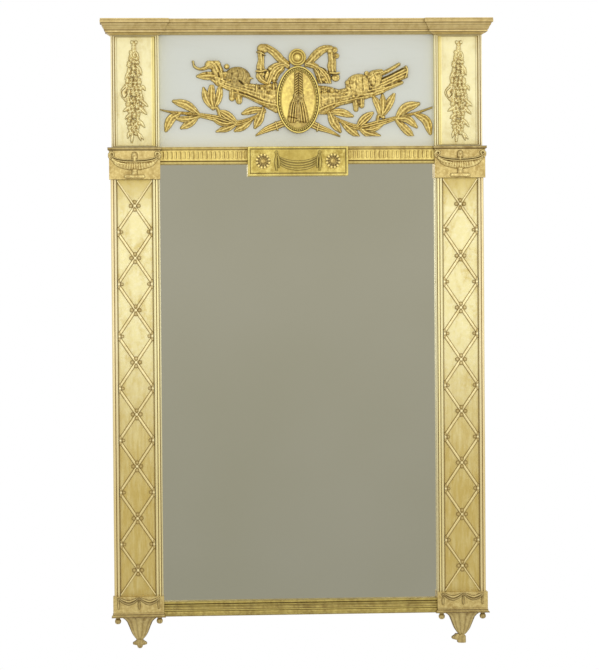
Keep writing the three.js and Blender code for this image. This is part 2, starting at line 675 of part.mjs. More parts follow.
/** The whole width of a lower pilaster, from the mirror outwards, as [across, forward]. */
function pilasterOutline() {
  const rise = PILASTER_BEAD - PILASTER_FIELD;
  const inner = fitted(PILASTER_INNER.points, PILASTER_INNER.drawn, [PILASTER_INNER_MOULDING, rise]);
  const outer = fitted(PILASTER_OUTER.points, PILASTER_OUTER.drawn, [PILASTER_OUTER_MOULDING, rise])
    .map(([across, up]) => [PILASTER_WIDTH - PILASTER_OUTER_MOULDING + across, up]);
  return [[0, 0], ...above(PILASTER_FIELD, [...inner, ...outer]), [PILASTER_WIDTH, 0]];
}

// The fluted rail under its band, as [setback from the rail's front, share of the foot's height].
const FLUTED_FOOT = [
  [2.2, 0.07], [2.2, 0.18], [-0.8, 0.27], [-2, 0.51], [-1.2, 0.78], [1.6, 0.93], [5.6, 1]];

/** The fluted rail as [forward, drop below the rail's top]. */
function flutedRailOutline() {
  const full = FLUTED_RAIL_DEPTH;
  const band = full - FLUTED_BAND_RECESS;
  const foot = MIDDLE_RAIL_HEIGHT - FLUTED_BAND_FOOT;
  return [
    [0, 0], [full, 0], [full, FLUTED_BAND_TOP - BAND_EASE], [band, FLUTED_BAND_TOP], [band, foot],
    ...FLUTED_FOOT.map(([back, share]) => [band - back, foot + share * FLUTED_BAND_FOOT]),
    [0, MIDDLE_RAIL_HEIGHT]];
}

// The base moulding as [forward, drop below the mirror's sight edge].
const BASE_MOULDING = {
  drawn: [19, 37],
  points: [
    [0, 0], [10, 0], [14, 0.8], [16.4, 3], [16, 5.4], [14, 6.8], [14, 7.8], [17.2, 8.4], [17.2, 11],
    [15.6, 11.8], [14.8, 16], [15.6, 20.4], [17.6, 21.4], [17.6, 23], [16, 23.6], [18, 25], [19, 28],
    [19, 31], [17.8, 34], [16, 35], [16, 36.7], [0, 36.7]],
};

// The medallion's rim as [inset, rise above its field]: outer roll, quirk, beaded roll and inner fillet.
const MEDALLION_FRAME = {
  drawn: [15, 8],
  points: [
    [0, 3], [1.8, 6.6], [4.2, 6.6], [5.6, 3.6], [7, 5.6], [9.4, 5.6], [10.8, 3.4], [12, 5], [14, 4.6],
    [15, 0]],
};

// The foot of the plinths as [drop, step outwards]: quirk, bead and flared foot.
const PLINTH_FOOT = {
  drawn: [11, 4],
  points: [
    [0, 0], [0.6, -0.8], [1.6, -0.8], [2.2, 0.8], [4.4, 1], [5, 0.2], [7.4, 2.4], [8.8, 4], [10.7, 4]],
};

// ------------------------------------------------------------------ pieces
const piece = new THREE.Group();
piece.name = 'trumeau_mirror';

function place(name, solid, material, x = 0, forward = 0, z = 0) {
  const mesh = new THREE.Mesh(toGeometry(solid), material);
  mesh.name = name;
  mesh.position.set(x, -forward, z);
  piece.add(mesh);
}

/** Both of a pair: the solid is drawn for the right side, with x measured from the centre line. */
function placePair(stem, solid, material, forward = 0, z = 0) {
  place(`right_${stem}`, solid, material, 0, forward, z);
  place(`left_${stem}`, mirrored(solid), material, 0, forward, z);
}

/** The same way round on both sides, at x = +axis and -axis. */
function placeTwins(stem, solid, material, axis, forward = 0, z = 0) {
  place(`right_${stem}`, solid, material, axis, forward, z);
  place(`left_${stem}`, solid, material, -axis, forward, z);
}

function carcass() {
  const gap = JOINT_GAP;
  const top = up(TOP_BOARD_THICKNESS + gap);
  const bottom = up(railBottom);
  const backboardFront = -(CARCASS_DEPTH - GLASS_THICKNESS - gap);
  const rebate = box(
    -panelHalf - BACKBOARD_REBATE - gap, panelHalf + BACKBOARD_REBATE + gap, backboardFront - gap, 1,
    up(mirrorBottom + LIP + BACKBOARD_REBATE + gap), up(mirrorTop - LIP - BACKBOARD_REBATE - gap));
  const screwHole = new THREE.CylinderGeometry(
    SCREW_SHANK_RADIUS + gap, SCREW_SHANK_RADIUS + gap, 2 * (SCREW_LENGTH + SCREW_HOLE_SPARE), 8);
  const holes = screwDrops.map((drop) => (
    shifted(toSolid(screwHole.clone()), hangerAxis, -hangerRecess, up(drop))));
  const recessHalf = ringOuterHalf + RECESS_ROOM;
  const ringSwing = RING_REACH + RING_WIRE_RADIUS + RECESS_ROOM;
  const recess = box(
    hangerAxis - recessHalf, hangerAxis + recessHalf, -hangerRecess, 1,
    up(HANGER_DROP + STRAP_PLATE_LENGTH + RECESS_ROOM), up(HANGER_DROP - ringSwing));
  const stile = box(panelHalf + gap, carcassOuter, -CARCASS_DEPTH, 0, bottom, top);
  placePair('stile', stile.subtract(rebate).subtract(recess).subtract(joined(holes)), bareWood);

  const rail = (upper, lower) => (
    box(-panelHalf, panelHalf, -CARCASS_DEPTH, 0, up(lower), up(upper)).subtract(rebate));
  place('top_rail', rail(TOP_BOARD_THICKNESS + gap, friezeTop - LIP - gap), bareWood);
  place('middle_rail', rail(friezeBottom + LIP + gap, mirrorTop - LIP - gap), bareWood);
  place('bottom_rail', rail(mirrorBottom + LIP + gap, railBottom), bareWood);

  const panel = box(-panelHalf, panelHalf, -CARCASS_DEPTH, 0, up(friezeBottom + LIP), up(friezeTop - LIP));
  place('frieze_panel', panel, paint);
  const glass = box(
    -panelHalf, panelHalf, -CARCASS_DEPTH, -(CARCASS_DEPTH - GLASS_THICKNESS),
    up(mirrorBottom + LIP), up(mirrorTop - LIP));
  place('mirror_glass', glass, silvering);
  const backboard = box(
    -panelHalf - BACKBOARD_REBATE, panelHalf + BACKBOARD_REBATE, backboardFront, 0,
    up(mirrorBottom + LIP + BACKBOARD_REBATE), up(mirrorTop - LIP - BACKBOARD_REBATE));
  place('backboard', backboard, bareWood);
}

function cornice() {
  const profile = corniceProfile();
  const blockFront = frontPlane + FRIEZE_PILASTER_FRAME;
  const centreFront = blockFront - CENTRE_SETBACK;
  const block = stack(profile.map(([drop, out]) => ({
    z: up(drop + JOINT_GAP), left: sightHalf - out, right: carcassOuter + out, front: blockFront + out })));
  const seat = box(
    0, carcassOuter + JOINT_GAP, -CARCASS_DEPTH - JOINT_GAP, 1, up(CORNICE_HEIGHT + 1), up(0));
  placePair('cornice_block', block.subtract(seat), gilt);

  const centre = stack(profile.map(([drop, out]) => {
    const half = sightHalf - out - JOINT_GAP;
    return { z: up(drop + JOINT_GAP), left: -half, right: half, front: centreFront + out };
  }));
  const behind = box(-sightHalf, sightHalf, -frontPlane, 1, up(CORNICE_HEIGHT + 1), up(0));
  place('cornice_centre', centre.subtract(behind), gilt);

  const overhang = CORNICE_PROJECTION - TOP_BOARD_SETBACK;
  const outerEdge = carcassOuter + overhang;
  const innerEdge = sightHalf - overhang;
  const blockEdge = blockFront + overhang;
  const centreEdge = centreFront + overhang;
  const board = upright([
    [-outerEdge, 0], [-outerEdge, blockEdge], [-innerEdge, blockEdge], [-innerEdge, centreEdge],
    [innerEdge, centreEdge], [innerEdge, blockEdge], [outerEdge, blockEdge], [outerEdge, 0],
  ], TOP_BOARD_THICKNESS);
  place('top_board', board, gilt, 0, 0, up(TOP_BOARD_THICKNESS));
}

function friezePilasters() {
  const height = FRIEZE_HEIGHT - JOINT_GAP;
  const board = framedBoard(
    friezePilasterWidth, height, friezeFrameProfile(), FRIEZE_FRAME_END / FRIEZE_FRAME_WIDTH);
  const middle = up(friezeTop + FRIEZE_HEIGHT / 2);
  placeTwins('frieze_pilaster', board, gilt, friezePilasterAxis, frontPlane, middle);
  const ground = frontPlane + FRIEZE_PILASTER_FIELD + JOINT_GAP;
  const field = [
    friezePilasterWidth - 2 * FRIEZE_FRAME_WIDTH, height - 2 * FRIEZE_FRAME_END, GARLAND_RELIEF];
  placeTwins('garland', carve(GARLAND, field), gilt, friezePilasterAxis, ground, middle);
}

function urnBlocks() {
  const dieTop = friezeBottom + CAP_HEIGHT;
  const die = box(blockInner, blockOuter, -BLOCK_DEPTH, 0, up(pilasterTop - JOINT_GAP), up(dieTop - 1));
  placePair('urn_block', die.add(capBox(0)), gilt, frontPlane);
  const middle = up(friezeBottom + JOINT_GAP + (BLOCK_HEIGHT + CAP_HEIGHT) / 2);
  const ground = frontPlane + BLOCK_DEPTH + JOINT_GAP;
  const urn = carve(URN, [blockWidth, BLOCK_HEIGHT - CAP_HEIGHT, URN_RELIEF]);
  placeTwins('urn', urn, gilt, blockAxis, ground, middle);
}

/** The cap over the right urn block, with room round it when a neighbour is cut to it. */
function capBox(room) {
  return box(
    blockInner - CAP_OVERHANG - room, blockOuter + CAP_OVERHANG + room, -BLOCK_DEPTH - CAP_OVERHANG - room,
    0, up(friezeBottom + CAP_HEIGHT + room), up(friezeBottom + JOINT_GAP - room));
}

function middleRail() {
  const inner = TABLET_WIDTH / 2 + JOINT_GAP;
  const outer = blockInner - JOINT_GAP;
  const length = outer - inner;
  const outline = flutedRailOutline().map(([forward, below]) => [forward, up(friezeBottom + below)]);
  const moulding = shifted(lengthwise(outline, length), (inner + outer) / 2, 0, 0);
  const pitch = length / FLUTE_COUNT;
  const radius = FLUTE_WIDTH / 2;
  const tool = new THREE.CapsuleGeometry(radius, FLUTE_LENGTH - FLUTE_WIDTH, 1, 6, 1);
  tool.rotateX(Math.PI / 2).scale(1, FLUTE_CUT / radius, 1);
  const face = FLUTED_RAIL_DEPTH - FLUTED_BAND_RECESS;
  const fluteMiddle = up(friezeBottom + (FLUTED_BAND_TOP + MIDDLE_RAIL_HEIGHT - FLUTED_BAND_FOOT) / 2);
  const flutes = Array.from({ length: FLUTE_COUNT }, (_, i) => (
    shifted(toSolid(tool.clone()), inner + pitch * (i + 0.5), -face, fluteMiddle)));
  placePair('fluted_rail', moulding.subtract(joined(flutes)).subtract(capBox(JOINT_GAP)), gilt, frontPlane);
}

function tablet() {
  const full = TABLET_DEPTH;
  const groove = full - TABLET_BORDER_RELIEF;
  const field = groove + TABLET_FIELD_RELIEF;
  const width = TABLET_BORDER_WIDTH;
  const board = framedBoard(TABLET_WIDTH, TABLET_HEIGHT, [
    [0, 0], [0, full - 0.1 * width], [0.1 * width, full], [width / 2, full], [0.6 * width, groove],
    [0.83 * width, groove], [0.9 * width, field], [width, field]]);
  const middle = up(friezeBottom + JOINT_GAP + TABLET_HEIGHT / 2);
  place('centre_tablet', board, gilt, 0, frontPlane, middle);
  const ground = frontPlane + field + JOINT_GAP;
  const rosette = lobedRosette(TABLET_ROSETTE_RADIUS, 12, TABLET_ROSETTE_RELIEF);
  const rosetteAxis = TABLET_WIDTH / 2 - TABLET_ROSETTE_INSET;
  placeTwins('tablet_rosette', rosette, gilt, rosetteAxis, ground, middle);
  const room = lobedRosette(TABLET_ROSETTE_RADIUS + JOINT_GAP, 12, FOOTPRINT_HEIGHT);
  const rooms = [-1, 1].map((side) => shifted(room, side * rosetteAxis, JOINT_GAP, 0));
  const inside = [TABLET_WIDTH - 2 * width, TABLET_HEIGHT - 2 * width, DRAPERY_RELIEF];
  const drapery = carve(TABLET_DRAPERY, inside);
  place('tablet_drapery', drapery.subtract(joined(rooms)), gilt, 0, ground, middle);
}

/** A round flower with lobed petals and a raised boss, its back flat at 0. */
function lobedRosette(radius, petals, relief) {
  const sides = petals * 2;
  const rings = [
    { share: 1, rise: 0, lobe: 0.12 }, { share: 0.86, rise: 0.65, lobe: 0.1 },
    { share: 0.36, rise: 0.5, lobe: 0 }, { share: 0.28, rise: 0.95, lobe: 0 }];
  return skin(rings.map(({ share, rise, lobe }) => (
    Array.from({ length: sides }, (_, i) => {
      const angle = (i / sides) * Math.PI * 2;
      const reach = radius * (share + lobe * (i % 2 ? -1 : 0));
      return new THREE.Vector3(reach * Math.cos(angle), -relief * rise, reach * Math.sin(angle));
    }))));
}

function pilasters() {
  const board = shifted(upright(pilasterOutline(), pilasterLength - JOINT_GAP), sightHalf, 0, 0);
  placePair('pilaster', board, gilt, frontPlane, up(plinthTop));
  const ground = frontPlane + PILASTER_FIELD + JOINT_GAP;
  placeTwins('trellis', trellis(), gilt, fieldAxis, ground, up(pilasterTop + pilasterLength / 2));
}

/** Crossing straps over the field of a lower pilaster, with a four-petal rosette on each crossing. */
function trellis() {
  const pitch = pilasterLength / TRELLIS_REPEATS;
  const half = fieldWidth / 2 - JOINT_GAP;
  const limit = pilasterLength / 2 - JOINT_GAP;
  const rosette = fourPetals(ROSETTE_RADIUS, ROSETTE_RELIEF);
  const knotAt = half - EDGE_ROSETTE_RADIUS;
  const marks = [];
  for (let i = 0; i < TRELLIS_REPEATS; i++) {
    const z = (i + 0.5) * pitch - pilasterLength / 2;
    const crossing = strap(half, pitch / 2).add(strap(half, -pitch / 2)).add(rosette);
    marks.push(shifted(crossing, 0, 0, z));
    if (i > 0) {
      for (const side of [-1, 1]) {
        marks.push(domeSolid({
          centre: [side * knotAt, 0], halfWidth: EDGE_ROSETTE_RADIUS, halfHeight: EDGE_ROSETTE_RADIUS,
          height: ROSETTE_RELIEF * 0.8 }, z - pitch / 2, false));
      }
    }
  }
  return joined(marks).intersect(box(-half, half, -ROSETTE_RELIEF * 2, 1, -limit, limit));
}

/** A strap from the left edge of the field, at -rise, to the right edge, at +rise; its ends are upright. */
function strap(half, rise) {
  const overhang = (STRAP_WIDTH / 2) * Math.hypot(half, rise) / half;
  const shape = new THREE.Shape([
    new THREE.Vector2(-half, -rise - overhang), new THREE.Vector2(half, rise - overhang),
    new THREE.Vector2(half, rise + overhang), new THREE.Vector2(-half, -rise + overhang)]);
  const geometry = new THREE.ExtrudeGeometry(shape, { depth: STRAP_RELIEF, bevelEnabled: false });
  return toSolid(geometry.rotateX(Math.PI / 2));
}

/** A flower with four round petals, its back flat at 0. */
function fourPetals(radius, relief) {
  const sideCount = 12;
  const rings = [[1, 0], [0.66, 0.95]];
  return skin(rings.map(([share, rise]) => (
    Array.from({ length: sideCount }, (_, i) => {
      const angle = (i / sideCount) * Math.PI * 2;
      const reach = radius * share * (1 + 0.2 * Math.cos(4 * angle)) / 1.2;
      return new THREE.Vector3(reach * Math.cos(angle), -relief * rise, reach * Math.sin(angle));
    }))), { apex: new THREE.Vector3(0, -relief * 0.7, 0) });
}

/** The right plinth as a stack: a plain die on the moulded foot. */
function plinthSolid(room) {
  const footTop = railBottom - PLINTH_FLARE_HEIGHT;
  const foot = fitted(PLINTH_FOOT.points, PLINTH_FOOT.drawn, [PLINTH_FLARE_HEIGHT, PLINTH_FLARE]);
  const levels = [[plinthTop, 0], ...foot.map(([below, out]) => [footTop + below, out])];
  return stack(levels.map(([drop, out]) => ({
    z: up(drop), left: blockInner - out - room, right: blockOuter + out + room,
    front: PLINTH_DEPTH + out + room })));
}

function plinths() {
  placePair('plinth', plinthSolid(0), gilt, frontPlane);
  const ground = frontPlane + PLINTH_DEPTH + JOINT_GAP;
  const swag = carve(PLINTH_SWAG, [blockWidth, PLINTH_HEIGHT, PLINTH_SWAG_RELIEF]);
  placeTwins('plinth_swag', swag, gilt, blockAxis, ground, up(railBottom - PLINTH_HEIGHT / 2));

  const outline = fitted(BASE_MOULDING.points, BASE_MOULDING.drawn, [BASE_RAIL_DEPTH, BASE_RAIL_HEIGHT])
    .map(([forward, below]) => [forward, up(mirrorBottom + below)]);
  const room = plinthSolid(JOINT_GAP);
  const moulding = lengthwise(outline, 2 * blockInner);
  place('base_moulding', moulding.subtract(room).subtract(mirrored(room)), gilt, 0, frontPlane);
}

// A pendant at shares of the way down to its neck: share of its half width and share of its depth.
const PENDANT_SHAPE = [
  [0, 1, 1], [0.1, 0.81, 0.96], [0.22, 0.71, 0.88], [0.55, 0.56, 0.73], [0.8, 0.42, 0.58],
  [0.93, 0.28, 0.46], [1, 0.17, 0.36]];
// The knop's wings and its middle lobe: share of the knop's length and of its half width.
const KNOP_WINGS = [[0, 0.38], [0.41, 1], [0.59, 0.97], [0.66, 0.49]];
const KNOP_LOBE = [[0, 0.41], [0.73, 0.38], [1, 0.16]];
const KNOP_DEPTH_SHARE = 0.4;         // the knop's depth as a share of the pendant's

/** A level ring of a half-round form with carved lobes, its flat back at y = 0. */
function lobedRing(z, halfWidth, depth, lobe) {
  const stepCount = 10;
  return Array.from({ length: stepCount + 1 }, (_, i) => {
    const angle = (i / stepCount) * Math.PI;
    const swell = 1 - lobe * (i % 2);
    return new THREE.Vector3(halfWidth * swell * Math.cos(angle), -depth * swell * Math.sin(angle), z);
  });
}

function pendantSolid(knopTilt) {
  const neck = PENDANT_LENGTH - KNOP_LENGTH;
  const halfWidth = blockWidth / 2 - PENDANT_INSET;
  const body = skin(PENDANT_SHAPE.map(([share, wide, deep]) => (
    lobedRing(-JOINT_GAP - share * (neck - JOINT_GAP), halfWidth * wide, PENDANT_DEPTH * deep, 0.07))));
  const depth = PENDANT_DEPTH * KNOP_DEPTH_SHARE;
  const part = (shape, deep) => skin(shape.map(([share, wide]) => (
    lobedRing(-share * KNOP_LENGTH, KNOP_HALF_WIDTH * wide, deep, 0))));
  const knop = part(KNOP_WINGS, depth * 0.8).add(part(KNOP_LOBE, depth)).rotate([0, knopTilt, 0]);
  const sunk = knopTilt ? 1.5 : 0;    // a tilted knop sits a little into the neck
  return body.add(shifted(knop, 0, 0, sunk - neck));
}

function pendants() {
  const bottom = up(railBottom);
  place('left_pendant', pendantSolid(0), gilt, -blockAxis, PENDANT_BACK, bottom);
  place('right_pendant', pendantSolid(RIGHT_KNOP_TILT), gilt, blockAxis, PENDANT_BACK, bottom);

  const roundCount = 4;
  const profile = [new THREE.Vector2(0, 0), new THREE.Vector2(DROP_RADIUS * 0.8, 0)];
  for (let i = 0; i <= roundCount; i++) {
    const angle = (i / roundCount) * (Math.PI / 2);
    const below = DROP_LENGTH - DROP_RADIUS * (1 - Math.sin(angle));
    profile.push(new THREE.Vector2(DROP_RADIUS * Math.cos(angle), -below + JOINT_GAP));
  }
  const drop = toSolid(new THREE.LatheGeometry(profile.reverse(), 9).rotateX(Math.PI / 2));
  const forward = frontPlane + PLINTH_DEPTH - DROP_SETBACK - DROP_RADIUS;
  const inset = DROP_RADIUS + DROP_INSET;
  placeTwins('outer_drop', drop, gilt, blockOuter - inset, forward, bottom);
  placeTwins('inner_drop', drop, gilt, blockInner + inset, forward, bottom);
}

// The patera's turned profile as shares of its radius and of its relief.
const PATERA_PROFILE = [
  [0, 0], [1, 0], [1, 0.55], [0.9, 0.85], [0.78, 0.62], [0.68, 0.64], [0.56, 0.9], [0.44, 0.66],
  [0.34, 0.68], [0.22, 0.98], [0, 1]];

function trophy() {
  const middle = up(friezeTop + FRIEZE_HEIGHT / 2);
  const panel = [SIGHT_WIDTH, FRIEZE_HEIGHT, TROPHY_RELIEF];
  const at = (solid, centre) => {
    const [[x, below]] = fitted([centre], ON_PANEL.drawn, panel);
    return shifted(solid, x, 0, -below);
  };
  const ovalSideCount = 28;
  const oval = (inset, back, front) => framedOval(
    MEDALLION_HALF_WIDTH - inset, MEDALLION_HALF_HEIGHT - inset, [[0, back], [0, front]], ovalSideCount);
  const rise = MEDALLION_RELIEF - MEDALLION_FIELD;
  const rim = fitted(MEDALLION_FRAME.points, MEDALLION_FRAME.drawn, [MEDALLION_RIM, rise]);
  const medallion = framedOval(
    MEDALLION_HALF_WIDTH, MEDALLION_HALF_HEIGHT, [[0, 0], ...above(MEDALLION_FIELD, rim)],
    ovalSideCount);
  const patera = turned(fitted(PATERA_PROFILE, [1, 1], [PATERA_RADIUS, PATERA_RELIEF]), 20);

  const room = JOINT_GAP;
  const pateraRoom = turned([
    [0, -room], [PATERA_RADIUS + room, -room], [PATERA_RADIUS + room, FOOTPRINT_HEIGHT],
    [0, FOOTPRINT_HEIGHT]], 20);
  const taken = [at(pateraRoom, PATERA_CENTRE)];

  const plant = (name, solid, ground = frontPlane) => place(name, solid, gilt, 0, ground, middle);
  plant('patera', at(patera, PATERA_CENTRE));
  plant('medallion', at(medallion, MEDALLION_CENTRE).subtract(taken[0]));
  taken.push(at(oval(-room, -room, FOOTPRINT_HEIGHT), MEDALLION_CENTRE));
  const inset = MEDALLION_RIM + room;
  const tassel = carve(TASSEL, [
    2 * (MEDALLION_HALF_WIDTH - MEDALLION_RIM), 2 * (MEDALLION_HALF_HEIGHT - MEDALLION_RIM), TASSEL_RELIEF]);
  plant('tassel', at(tassel.intersect(oval(inset, 0, FOOTPRINT_HEIGHT)), MEDALLION_CENTRE),
    frontPlane + MEDALLION_FIELD + JOINT_GAP);

  const order = {
    left_ribbon: LEFT_RIBBON, right_ribbon: RIGHT_RIBBON, torch: TORCH, quiver: QUIVER,
    torch_foot: TORCH_FOOT, quiver_foot: QUIVER_FOOT, left_laurel: LEFT_LAUREL, right_laurel: RIGHT_LAUREL,
  };
  for (const [name, drawing] of Object.entries(order)) {
    plant(name, carve(drawing, panel).subtract(joined(taken)));
    taken.push(carve(drawing, panel, true));
  }
}

/** A steel strap folded round the ring's bar, with two countersunk holes. */
function hangerStrap() {
  const half = STRAP_PLATE_WIDTH / 2;
  const plate = box(-half, half, JOINT_GAP, JOINT_GAP + STRAP_PLATE_THICKNESS, -STRAP_PLATE_LENGTH, 0);
  const eye = barAlongX(eyeOuter, STRAP_PLATE_WIDTH, 12, ringBarBack);
  const bore = barAlongX(RING_WIRE_RADIUS + RING_CLEARANCE, STRAP_PLATE_WIDTH * 2, 10, ringBarBack);
  const belowFace = box(-half, half, JOINT_GAP - 2 * eyeOuter, JOINT_GAP, -2 * eyeOuter, 2 * eyeOuter);
  const holes = screwDrops.map((drop) => shifted(screwSolid(JOINT_GAP), 0, 0, HANGER_DROP - drop));
  return plate.add(eye).subtract(bore).subtract(belowFace).subtract(joined(holes));
}

function barAlongX(radius, length, sides, y) {
  const bar = new THREE.CylinderGeometry(radius, radius, length, sides);
  return toSolid(bar.rotateZ(Math.PI / 2).translate(0, y, 0));
}

/** A countersunk screw driven in from the back, its head flush with the strap's face. */
function screwSolid(room) {
  const headFace = JOINT_GAP + STRAP_PLATE_THICKNESS;
  const head = SCREW_HEAD_RADIUS + room;
  const shank = SCREW_SHANK_RADIUS + room;
  const neck = headFace - (head - shank) - room;
  const top = headFace + (room ? 1 : 0);
  const profile = [
    [0, -SCREW_LENGTH], [shank * 0.5, -SCREW_LENGTH], [shank, SCREW_TAPER - SCREW_LENGTH], [shank, neck],
    [head, headFace],
    ...(room ? [[head, top]] : []), [0, top]];
  const lathe = new THREE.LatheGeometry(profile.map(([r, y]) => new THREE.Vector2(r, y)), 9);
  return toSolid(lathe);
}

/** A D-shaped ring: its bar lies in the strap's eye and its bow hangs over the strap. */
function hangerRing() {
  const half = ringOuterHalf - RING_WIRE_RADIUS;
  const corner = RING_CORNER;
  const path = [];
  const arc = (x, z, radius, from, to, steps) => {
    for (let i = 0; i <= steps; i++) {
      const angle = THREE.MathUtils.degToRad(THREE.MathUtils.lerp(from, to, i / steps));
      path.push([x + radius * Math.cos(angle), z + radius * Math.sin(angle), angle]);
    }
  };
  arc(half - corner, -corner, corner, 90, 0, 2);
  arc(0, half - RING_REACH, half, 0, -180, 10);
  arc(corner - half, -corner, corner, 180, 90, 2);
  const wireSideCount = 6;
  return skin(path.map(([x, z, angle]) => (
    Array.from({ length: wireSideCount }, (_, j) => {
      const roll = (j / wireSideCount) * Math.PI * 2;
      const out = RING_WIRE_RADIUS * Math.cos(roll);
      return new THREE.Vector3(
        x + out * Math.cos(angle), ringBarBack + RING_WIRE_RADIUS * Math.sin(roll),
        z + out * Math.sin(angle));
    }))), { looped: true });
}

function hangers() {
  const z = up(HANGER_DROP);
  placeTwins('hanger_strap', hangerStrap(), steel, hangerAxis, hangerRecess, z);
  placeTwins('hanger_ring', hangerRing(), steel, hangerAxis, hangerRecess, z);
  ['upper', 'lower'].forEach((which, i) => {
    placeTwins(`${which}_screw`, screwSolid(0), steel, hangerAxis, hangerRecess, up(screwDrops[i]));
  });
}

carcass();
cornice();
friezePilasters();
urnBlocks();
middleRail();
tablet();
pilasters();
plinths();
pendants();
trophy();
hangers();

export default piece;
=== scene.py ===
import bpy
import numpy as np
from math import cos, pi, radians, sin
from mathutils import Matrix, Vector


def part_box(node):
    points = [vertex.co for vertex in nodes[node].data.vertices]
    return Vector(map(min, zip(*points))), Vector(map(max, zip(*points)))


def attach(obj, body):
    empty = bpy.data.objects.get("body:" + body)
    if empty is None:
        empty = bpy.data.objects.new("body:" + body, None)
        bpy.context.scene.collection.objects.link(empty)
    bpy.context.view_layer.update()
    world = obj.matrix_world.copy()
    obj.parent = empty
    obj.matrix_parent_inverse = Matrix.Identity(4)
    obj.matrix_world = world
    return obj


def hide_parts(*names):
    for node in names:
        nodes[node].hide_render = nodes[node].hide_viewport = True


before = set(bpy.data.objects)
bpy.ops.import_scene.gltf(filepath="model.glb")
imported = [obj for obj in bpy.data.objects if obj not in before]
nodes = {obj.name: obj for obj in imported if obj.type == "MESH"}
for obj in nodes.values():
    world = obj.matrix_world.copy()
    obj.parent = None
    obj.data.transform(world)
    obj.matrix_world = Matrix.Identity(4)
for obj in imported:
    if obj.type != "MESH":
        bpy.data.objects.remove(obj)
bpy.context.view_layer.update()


def report(stage):
    print("trumeau mirror:", stage)


# All drawings are in millimetres. Drops are measured down from the top of the cornice.
cabinet = {
    "overallHeight": 1512.0,
    "sightHalf": 331.0,               # half the clear width between the pilasters
    "carcassOuter": 446.0,
    "blockInner": 330.0,
    "blockOuter": 452.0,
    "frontPlane": 18.3,               # the gilt pieces are planted on this plane
    "gap": 0.3,
}
blockAxis = (cabinet["blockInner"] + cabinet["blockOuter"]) / 2
sides = {"left": -1, "right": 1}


# The height of a drop above the middle of the mirror.
def up(drop):
    return cabinet["overallHeight"] / 2 - drop


# The two corners of a CAD node's box, in millimetres.
def boxOf(name):
    return (np.array(corner) * 1000 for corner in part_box(name))


camera = {
    "place": (-0.387, -6.513, 0.152),
    "turnRight": 3.51,                # degrees
    "tiltUp": -1.57,
    "roll": -0.44,
    "focalPixels": 2697.9,
    "imageHigh": 670.0,
    "centreRight": 3.9,               # the lens axis meets the picture this far from its middle
    "centreDown": 9.6,
    "sensorWide": 36.0,
    "farthest": 60.0,
}


# The view direction from its turn and tilt, and the upright axis turned about it by the roll.
def makeCamera():
    turn, tilt, roll = (radians(camera[key]) for key in ("turnRight", "tiltUp", "roll"))
    ahead = Vector((sin(turn) * cos(tilt), cos(turn) * cos(tilt), sin(tilt)))
    level = Vector((cos(turn), -sin(turn), 0.0))
    upright = level.cross(ahead)
    right = cos(roll) * level + sin(roll) * upright
    above = cos(roll) * upright - sin(roll) * level
    data = bpy.data.cameras.new("camera")
    data.sensor_width = camera["sensorWide"]
    data.lens = data.sensor_width * camera["focalPixels"] / camera["imageHigh"]
    data.shift_x = -camera["centreRight"] / camera["imageHigh"]
    data.shift_y = camera["centreDown"] / camera["imageHigh"]
    data.clip_end = camera["farthest"]
    eye = bpy.data.objects.new("camera", data)
    axes = Matrix((right, above, -ahead)).transposed().to_4x4()
    eye.matrix_world = Matrix.Translation(camera["place"]) @ axes
    bpy.context.scene.collection.objects.link(eye)
    bpy.context.scene.camera = eye


# sRGB 0 to 255 to linear light, by the sRGB curve.
def linear(colour):
    share = np.asarray(colour, float) / 255.0
    level = np.where(share <= 0.04045, share / 12.92, ((share + 0.055) / 1.055) ** 2.4)
    return (*[float(v) for v in level], 1.0)


